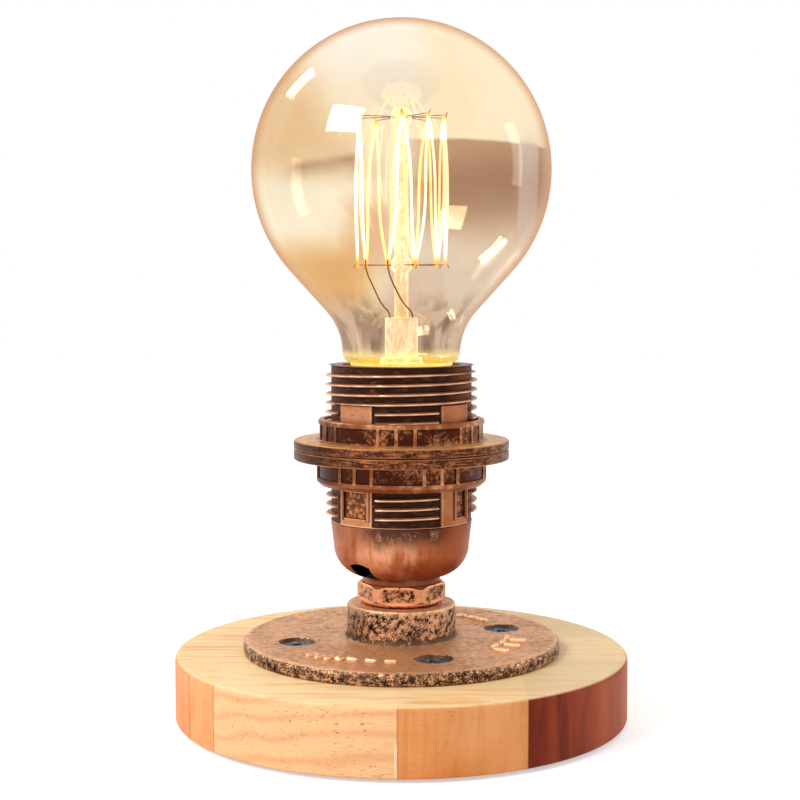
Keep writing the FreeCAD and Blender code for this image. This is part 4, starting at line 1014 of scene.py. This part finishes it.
# ---- glass globe ------------------------------------------------------------------------------------
# One blown envelope of thin glass, tinted amber from outside, from the crown round to the stub that
# is cemented in the cap. The tint is a little uneven and deepens where the wall is seen edge on, and
# painted reflections of a room, in tan, cream, rose and grey patches and a pale window strip, are laid
# into it as further tints, with a painted golden glow at the shoulder from the lit cement.
GLOBE = Sizes(middle=144.69, radius=39.2, wall=0.6, slope=math.radians(42.0), fillet=17.0, neck=15.5,
              neck_height=96.8, seat=94.7, shoulder=2.1, stub=12.1, stub_low=85.2)


def arc(middle, radius, start, end, sides):
    """Points of an arc in an outline, with its angles in radians."""
    angles = [start + (end - start) * k / sides for k in range(sides + 1)]
    return [(middle[0] + radius * math.cos(a), middle[1] + radius * math.sin(a)) for a in angles]


def globe_wall(inward):
    """The globe's outline from its stub to its crown, on a wall so far inside its outer face, in mm."""
    shoulder = (GLOBE.neck - GLOBE.shoulder, GLOBE.neck_height)
    fillet = (GLOBE.neck + GLOBE.fillet, GLOBE.neck_height)
    points = [(GLOBE.stub - inward, GLOBE.stub_low), (GLOBE.stub - inward, GLOBE.seat + inward)]
    points += arc(shoulder, GLOBE.shoulder - inward, -math.pi / 2, 0.0, 6)
    points += arc(fillet, GLOBE.fillet + inward, math.pi, math.pi - GLOBE.slope, 12)[1:]
    return points + arc((0.0, GLOBE.middle), GLOBE.radius - inward, -GLOBE.slope, math.pi / 2, 72)


globe_mesh = lathed("globe", globe_wall(0.0) + globe_wall(GLOBE.wall)[::-1], 256)


def glossy_share(finish, front, back):
    """How much a thin wall mirrors, the same from both its sides, more and more as it is seen edge on."""
    facing = finish.edge_on()
    straight_on = finish.y.ease(-0.004, 0.004) * (back - front) + front
    return facing, facing ** 4.0 * 0.26 + straight_on


def clear_film(finish, colour):
    """A shader that lets light through and gives it one tint."""
    return finish.node("ShaderNodeBsdfTransparent", None, {"Color": (*colour, 1.0)})


def tinted_more(finish, film, share, colour):
    """The film with a share of it changed to another tint."""
    return finish.node("ShaderNodeMixShader", None, {0: share, 1: film, 2: clear_film(finish, colour)})


def mirrored(finish, film, share, roughness):
    """The material of a wall that mirrors a share of the light and lets the rest through its film."""
    gloss = finish.node("ShaderNodeBsdfGlossy", None, {"Color": (1.0, 1.0, 1.0, 1.0), "Roughness": roughness})
    return finish.show(finish.node("ShaderNodeMixShader", None, {0: share, 1: film, 2: gloss}))


amber = Finish("amber_glass_with_painted_reflections")
facing, share = glossy_share(amber, 0.034, 0.060)
wash = amber.grain(26.0, None, 3.0, 0.5, 0.6)
swirl = amber.grain(34.0, amber.stretched(amber.x, amber.y, amber.z * 1.8 + amber.x * 0.7), 4.0, 0.5, 1.2)
drawn = amber.grain(150.0, amber.scaled(z=0.22), 3.0)
across = amber.x + (swirl - 0.5) * 0.012
height = amber.z + (swirl - 0.5) * 0.006
front_wall = amber.y.ease(-0.004, -0.020)

# where each painted reflection lies. The broad tan band, itself a painted reflection, ends in a sharp
# edge on the front wall and fades out behind.
upper_left = amber.z.ease(0.138, 0.150) * (across + (amber.z - 0.150) * 0.55).ease(-0.004, -0.022)
crown = amber.z.ease(0.158, 0.174) * (abs(across + 0.008)).ease(0.022, 0.008)
band_low = height.ease(0.118, 0.140) * across.ease(-0.004, 0.012)
band_top = (amber.z + (swirl - 0.5) * 0.0016).ease(0.1500, 0.1490)
wedge = abs(amber.z - 0.1452 - across * 0.12).ease(0.0034, 0.0008) * abs(across + 0.019).ease(0.012, 0.005)
cream = height.ease(0.1455, 0.1400) * height.ease(0.120, 0.130)
cream = cream * (across + (0.144 - amber.z) * 0.45).ease(-0.0095, -0.0135)
copper_glow = amber.z.ease(0.140, 0.133) * amber.z.ease(0.116, 0.124)
copper_glow = copper_glow * abs(across + 0.0085).ease(0.0075, 0.003)
lilac = amber.z.ease(0.134, 0.116) * (0.45 + swirl * 0.5) * across.ease(-0.008, 0.000)
honey = amber.z.ease(0.130, 0.119) * across.ease(-0.004, -0.014)
strip = abs(amber.x - 0.0315).ease(0.0032, 0.0022) * height.ease(0.1510, 0.1495) * amber.z.ease(0.122, 0.132)
neck = amber.z.ease(0.115, 0.105)
beside_stem = abs(amber.x).ease(0.0030, 0.0065)
rim = facing.ease(0.62, 0.98) * amber.z.ease(0.0975, 0.103)
film = clear_film(amber, tint(254, 244, 224))
# each layer's share and colour: all but the last two are painted reflections, the golden band at the shoulder
# is a painted glow, and the last deepens the amber where the wall is seen edge on
for layer, *colour in (((upper_left + wash.ease(0.45, 0.70) * 0.35) * 0.80, 243, 220, 188),
                       (crown * 0.85, 255, 251, 244),
                       (front_wall * band_top * band_low * 0.95, 186, 150, 122),
                       ((1.0 - front_wall) * height.ease(0.160, 0.142) * band_low * 0.9, 218, 190, 168),
                       (wedge * front_wall * 0.85, 180, 140, 112),
                       (cream * 0.85, 253, 246, 230),
                       (copper_glow * 0.6, 238, 196, 164),
                       (lilac * 0.80, 226, 208, 200),
                       (honey * 0.85, 236, 198, 138),
                       (strip * front_wall * 0.8, 228, 218, 216),
                       (neck * 0.85, 228, 210, 192),
                       (neck * beside_stem * drawn.ease(0.52, 0.36) * 0.85, 160, 128, 104),
                       (amber.z.ease(0.0985, 0.0965) * 0.9, 255, 240, 186),
                       (rim * (0.75 + wash * 0.4), 226, 178, 112)):
    film = tinted_more(amber, film, layer, tint(*colour))
amber_finish = mirrored(amber, film, share, 0.04)

clear = Finish("clear_inner_glass")
facing, share = glossy_share(clear, 0.026, 0.075)
clear_through = tinted_more(clear, clear_film(clear, (1.0, 1.0, 1.0)), clear.grain(40.0, None, 2.0),
                            (0.985, 0.975, 0.955))
clear_finish = mirrored(clear, clear_through, share * (facing < 0.85), 0.03)
globe = put("glass_globe", globe_mesh, amber_finish)
globe.data.materials.append(clear_finish)
for face in globe.data.polygons:
    spot = face.center
    outward = Vector((spot.x, spot.y, spot.z - GLOBE.middle * MM if spot.z > 0.118 else 0.0))
    face.material_index = int(face.normal.dot(outward) < 0)
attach(globe, "bulb")
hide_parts("bulb_glass")

# ---- stem, rod and wires ----------------------------------------------------------------------------
# A flare of lead glass drawn in to a flat press that seals the two leads, and a rod with two pressed
# buttons. Wires set in the buttons end in small hooks, and the thread hangs over them.
CAGE = Sizes(radius=11.5, top=158.79, low=120.19, hooks=9, step=math.radians(36.0),
             first=math.radians(-108.0), past=0.9, wire=0.11, thread=0.34, button=2.7)
LEAD = Sizes(foot=3.0, radius=0.2, press_top=106.35)


def tube(name, path, radius, sides=10, smooth=True):
    """A round wire as a closed mesh along points in mm."""
    curve = bpy.data.curves.new(name, "CURVE")
    curve.dimensions = "3D"
    curve.bevel_depth = radius * MM
    curve.bevel_resolution = sides // 2 - 2
    curve.use_fill_caps = True
    line = curve.splines.new("NURBS" if smooth else "POLY")
    line.points.add(len(path) - 1)
    for point, spot in zip(line.points, path):
        point.co = (*(Vector(spot) * MM), 1.0)
    if smooth:
        line.order_u = 3
        line.use_endpoint_u = True
        line.resolution_u = 6
    carrier = in_scene(name, curve)
    mesh = applied(carrier)
    bpy.data.objects.remove(carrier)
    return tidied(mesh, 60.0)


def polar(radius, azimuth, height):
    return Vector((radius * math.cos(azimuth), radius * math.sin(azimuth), height))


def pearl_glass(name, lit):
    """Lead glass with a milky body, lit up a little by the thread."""
    pearl = Finish(name)
    milk = pearl.grain(420.0, pearl.scaled(z=0.5), 4.0, 0.6, 1.0)
    through = tinted_more(pearl, clear_film(pearl, tint(255, 252, 244)), milk, tint(246, 236, 218))
    body_colour = pearl.mix(milk.ease(0.35, 0.65), tint(238, 224, 202), tint(252, 248, 240))
    body = pearl.surface(Base_Color=body_colour, Roughness=0.16 + milk * 0.1, Emission_Strength=1.3,
                         Emission_Color=pearl.mix(milk.ease(0.3, 0.7), lit, (1.0, 0.93, 0.78)))
    share = pearl.edge_on(0.45).ease(0.30, 0.95) * 0.50 + milk.ease(0.45, 0.70) * 0.35 + 0.14
    made = pearl.show(pearl.node("ShaderNodeMixShader", None, {0: share, 1: through, 2: body}))
    made.cycles.emission_sampling = "NONE"
    return made


dress(pearl_glass("lead_glass_stem", tint(255, 240, 210)), "glass_stem")
dress(pearl_glass("lead_glass_rod", tint(255, 226, 120)), "glass_rod")

wire = Finish("dull_nickel_wire")
wire_cloud = wire.grain(1300.0, None, 3.0)
wire_finish = wire.finished(Base_Color=wire.mix(wire_cloud, tint(92, 62, 44), tint(146, 112, 84)),
                            Metallic=0.5, Roughness=0.4 + wire_cloud * 0.2)
for name, level, first, count, way in (("support_wires_top", CAGE.top, CAGE.first + CAGE.step / 2,
                                        CAGE.hooks, 1.0),
                                       ("support_wires_bottom", CAGE.low, CAGE.first + CAGE.step,
                                        CAGE.hooks - 1, -1.0)):
    tip = CAGE.radius + CAGE.past
    hook = tube("hook", [(CAGE.button - 0.6, 0, 0), (CAGE.radius * 0.6, 0, 0), (tip - 0.9, 0, 0), (tip, 0, 0),
                         (tip + 0.06, 0, way * 0.85)], CAGE.wire)
    hook_mesh = around(None, hook, wire_finish, count, 0.0, level, first, CAGE.step)
    hooks = put("hooked_" + name, tidied(hook_mesh), wire_finish)
    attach(hooks, "bulb")
    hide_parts(name)

# the carbon thread, lit: one run up and down round the cage, and each run hangs a little slack
corners = [polar(CAGE.radius, CAGE.first + CAGE.step / 2 * k, CAGE.top if k % 2 else CAGE.low)
           for k in range(2 * CAGE.hooks + 1)]
path = []
for index, (start, end) in enumerate(zip(corners, corners[1:])):
    rise = math.copysign(1.0, end.z - start.z)
    bow = 0.55 + 0.55 * noise.noise((index * 3.7, 1.3, 0.0))
    sway = 0.75 + 0.45 * noise.noise((index * 2.1, 7.7, 0.0))
    along = Vector((end.x - start.x, end.y - start.y, 0)).normalized()
    if index:
        path += [start - Vector((0, 0, rise * 0.36)), start - Vector((0, 0, rise * 0.32)) + along * 0.40]
    for share in (0.04, 0.14, 0.27, 0.42, 0.58, 0.73, 0.86, 0.96):
        spread = share + 0.14 * math.sin(2 * math.pi * share)
        spot = Vector((*start.lerp(end, spread).xy, start.z + (end.z - start.z) * share))
        outward = Vector((spot.x, spot.y, 0)).normalized()
        path.append(spot + (outward * bow + along * sway) * math.sin(math.pi * share))
thread_mesh = tube("thread", path, CAGE.thread, 8)
glow = Finish("glowing_carbon")
flicker = glow.grain(120.0, None, 2.0)
core = glow.mix(glow.y.ease(0.010, -0.002) * 0.85 + flicker * 0.2, tint(255, 214, 122), tint(255, 250, 232))
ends_hot = glow.z.ease(CAGE.low * MM + 0.0003, CAGE.low * MM + 0.004)
ends_hot = ends_hot * glow.z.ease(CAGE.top * MM - 0.0003, CAGE.top * MM - 0.003)
heat = glow.layered(tint(226, 132, 58), (ends_hot, core),
                    (glow.edge_on().ease(0.55, 0.98) * 0.6, 248, 166, 74))
glow_finish = glow.finished(Base_Color=glow.mix(flicker, tint(120, 70, 30), tint(160, 100, 50)),
                            Roughness=0.7 + flicker * 0.1, Emission_Color=heat, Emission_Strength=3.0)
glow_finish.cycles.emission_sampling = "NONE"
thread = put("carbon_thread", thread_mesh, glow_finish)
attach(thread, "bulb")
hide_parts("filament")

# the two leads, bent from the press to the thread's ends
lead_meshes = []
for side, end, bow in ((-1.0, corners[-1], 0.4), (1.0, corners[0], -0.3)):
    foot = Vector((side * LEAD.foot, 0, LEAD.press_top - 0.2))
    knee = foot.lerp(end, 0.35)
    lead_meshes.append(tube("lead", [foot, foot + Vector((0, 0, 1.6)), Vector((knee.x, knee.y, foot.z + 3.6)),
                                     Vector((*foot.lerp(end, 0.72).xy, foot.z + 8.4 + bow)),
                                     Vector((end.x, end.y, end.z - 1.5)), end + Vector((0, 0, 1.2))],
                            LEAD.radius))
leads = put("bent_leads", joined(*lead_meshes), wire_finish)
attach(leads, "bulb")
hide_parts("lead_wires")
dress(wire_finish, "outer_leads")

# ---- floor, light and camera ------------------------------------------------------------------------
# A pale floor under a white background, a soft key from the upper left in front, two strips from the
# left behind that light the rim of the glass, and a weak fill from the right, with one camera.
LIGHT_AT = Vector((0, 0, GLOBE.middle * MM))
CAMERA = Sizes(place=(-0.00037, -0.4135, 0.114), down=math.radians(4.07), lens=70.47)

# each light's name, the way to it from the bulb's middle, its distance and size in metres, and its watts
LIGHTS = (("key", (-0.62, -0.57, 0.53), 0.70, (0.30, 0.22), 2.9),
          ("rim_strip", (-0.655, 0.455, 0.605), 0.60, (0.050, 0.15), 0.42),
          ("rim_strip_beside", (-0.695, 0.355, 0.625), 0.60, (0.030, 0.15), 0.26),
          ("fill", (0.95, 0.10, 0.15), 0.90, (0.18, 0.50), 0.9))
for name, way, distance, size, power in LIGHTS:
    lamp = bpy.data.lights.new(name, "AREA")
    lamp.shape, lamp.size, lamp.size_y, lamp.energy = "RECTANGLE", size[0], size[1], power
    stand = in_scene(name, lamp)
    stand.location = LIGHT_AT + Vector(way).normalized() * distance
    stand.rotation_euler = (LIGHT_AT - stand.location).to_track_quat("-Z", "Y").to_euler()


def is_seen(tree):
    """1 for a ray that shows the thing itself, also in a mirror or through glass, and 0 for other rays."""
    rays = [tree.node("ShaderNodeLightPath", None, None, kind)
            for kind in ("Is Camera Ray", "Is Glossy Ray", "Is Transmission Ray")]
    return (rays[0] + rays[1] + rays[2]) > 0.5


world = bpy.data.worlds.new("studio")
world.use_nodes = True
bpy.context.scene.world = world
sky = Nodes(world.node_tree)
world.node_tree.nodes.clear()
room = sky.node("ShaderNodeBackground", None, {"Color": (1.0, 0.985, 0.965, 1.0), "Strength": 0.62})
backdrop = sky.node("ShaderNodeBackground", None, {"Color": (1.0, 1.0, 1.0, 1.0), "Strength": 1.0})
both = sky.node("ShaderNodeMixShader", None, {0: is_seen(sky), 1: room, 2: backdrop})
sky.node("ShaderNodeOutputWorld", None, {"Surface": both})

floor_mesh = bpy.data.meshes.new("floor")
floor_mesh.from_pydata([(-2, -2, 0), (2, -2, 0), (2, 2, 0), (-2, 2, 0)], [], [(0, 1, 2, 3)])
paper = Finish("pale_floor")
paper_colour = paper.mix(paper.grain(40.0, None, 3.0), (0.90, 0.90, 0.90), (0.93, 0.93, 0.93))
paper_light = paper.mix(is_seen(paper), (0.0, 0.0, 0.0), (0.48, 0.48, 0.48))
paper_finish = paper.finished(Base_Color=paper_colour, Roughness=0.9, Specular_IOR_Level=0.0,
                              Emission_Color=paper_light, Emission_Strength=1.0)
paper_finish.cycles.emission_sampling = "NONE"
floor = put("floor", floor_mesh, paper_finish)

camera = in_scene("camera", bpy.data.cameras.new("camera"))
camera.data.lens = CAMERA.lens
camera.location = CAMERA.place
camera.rotation_euler = (math.pi / 2 - CAMERA.down, 0, 0)
bpy.context.scene.camera = camera
bpy.context.scene.view_settings.view_transform = "Standard"
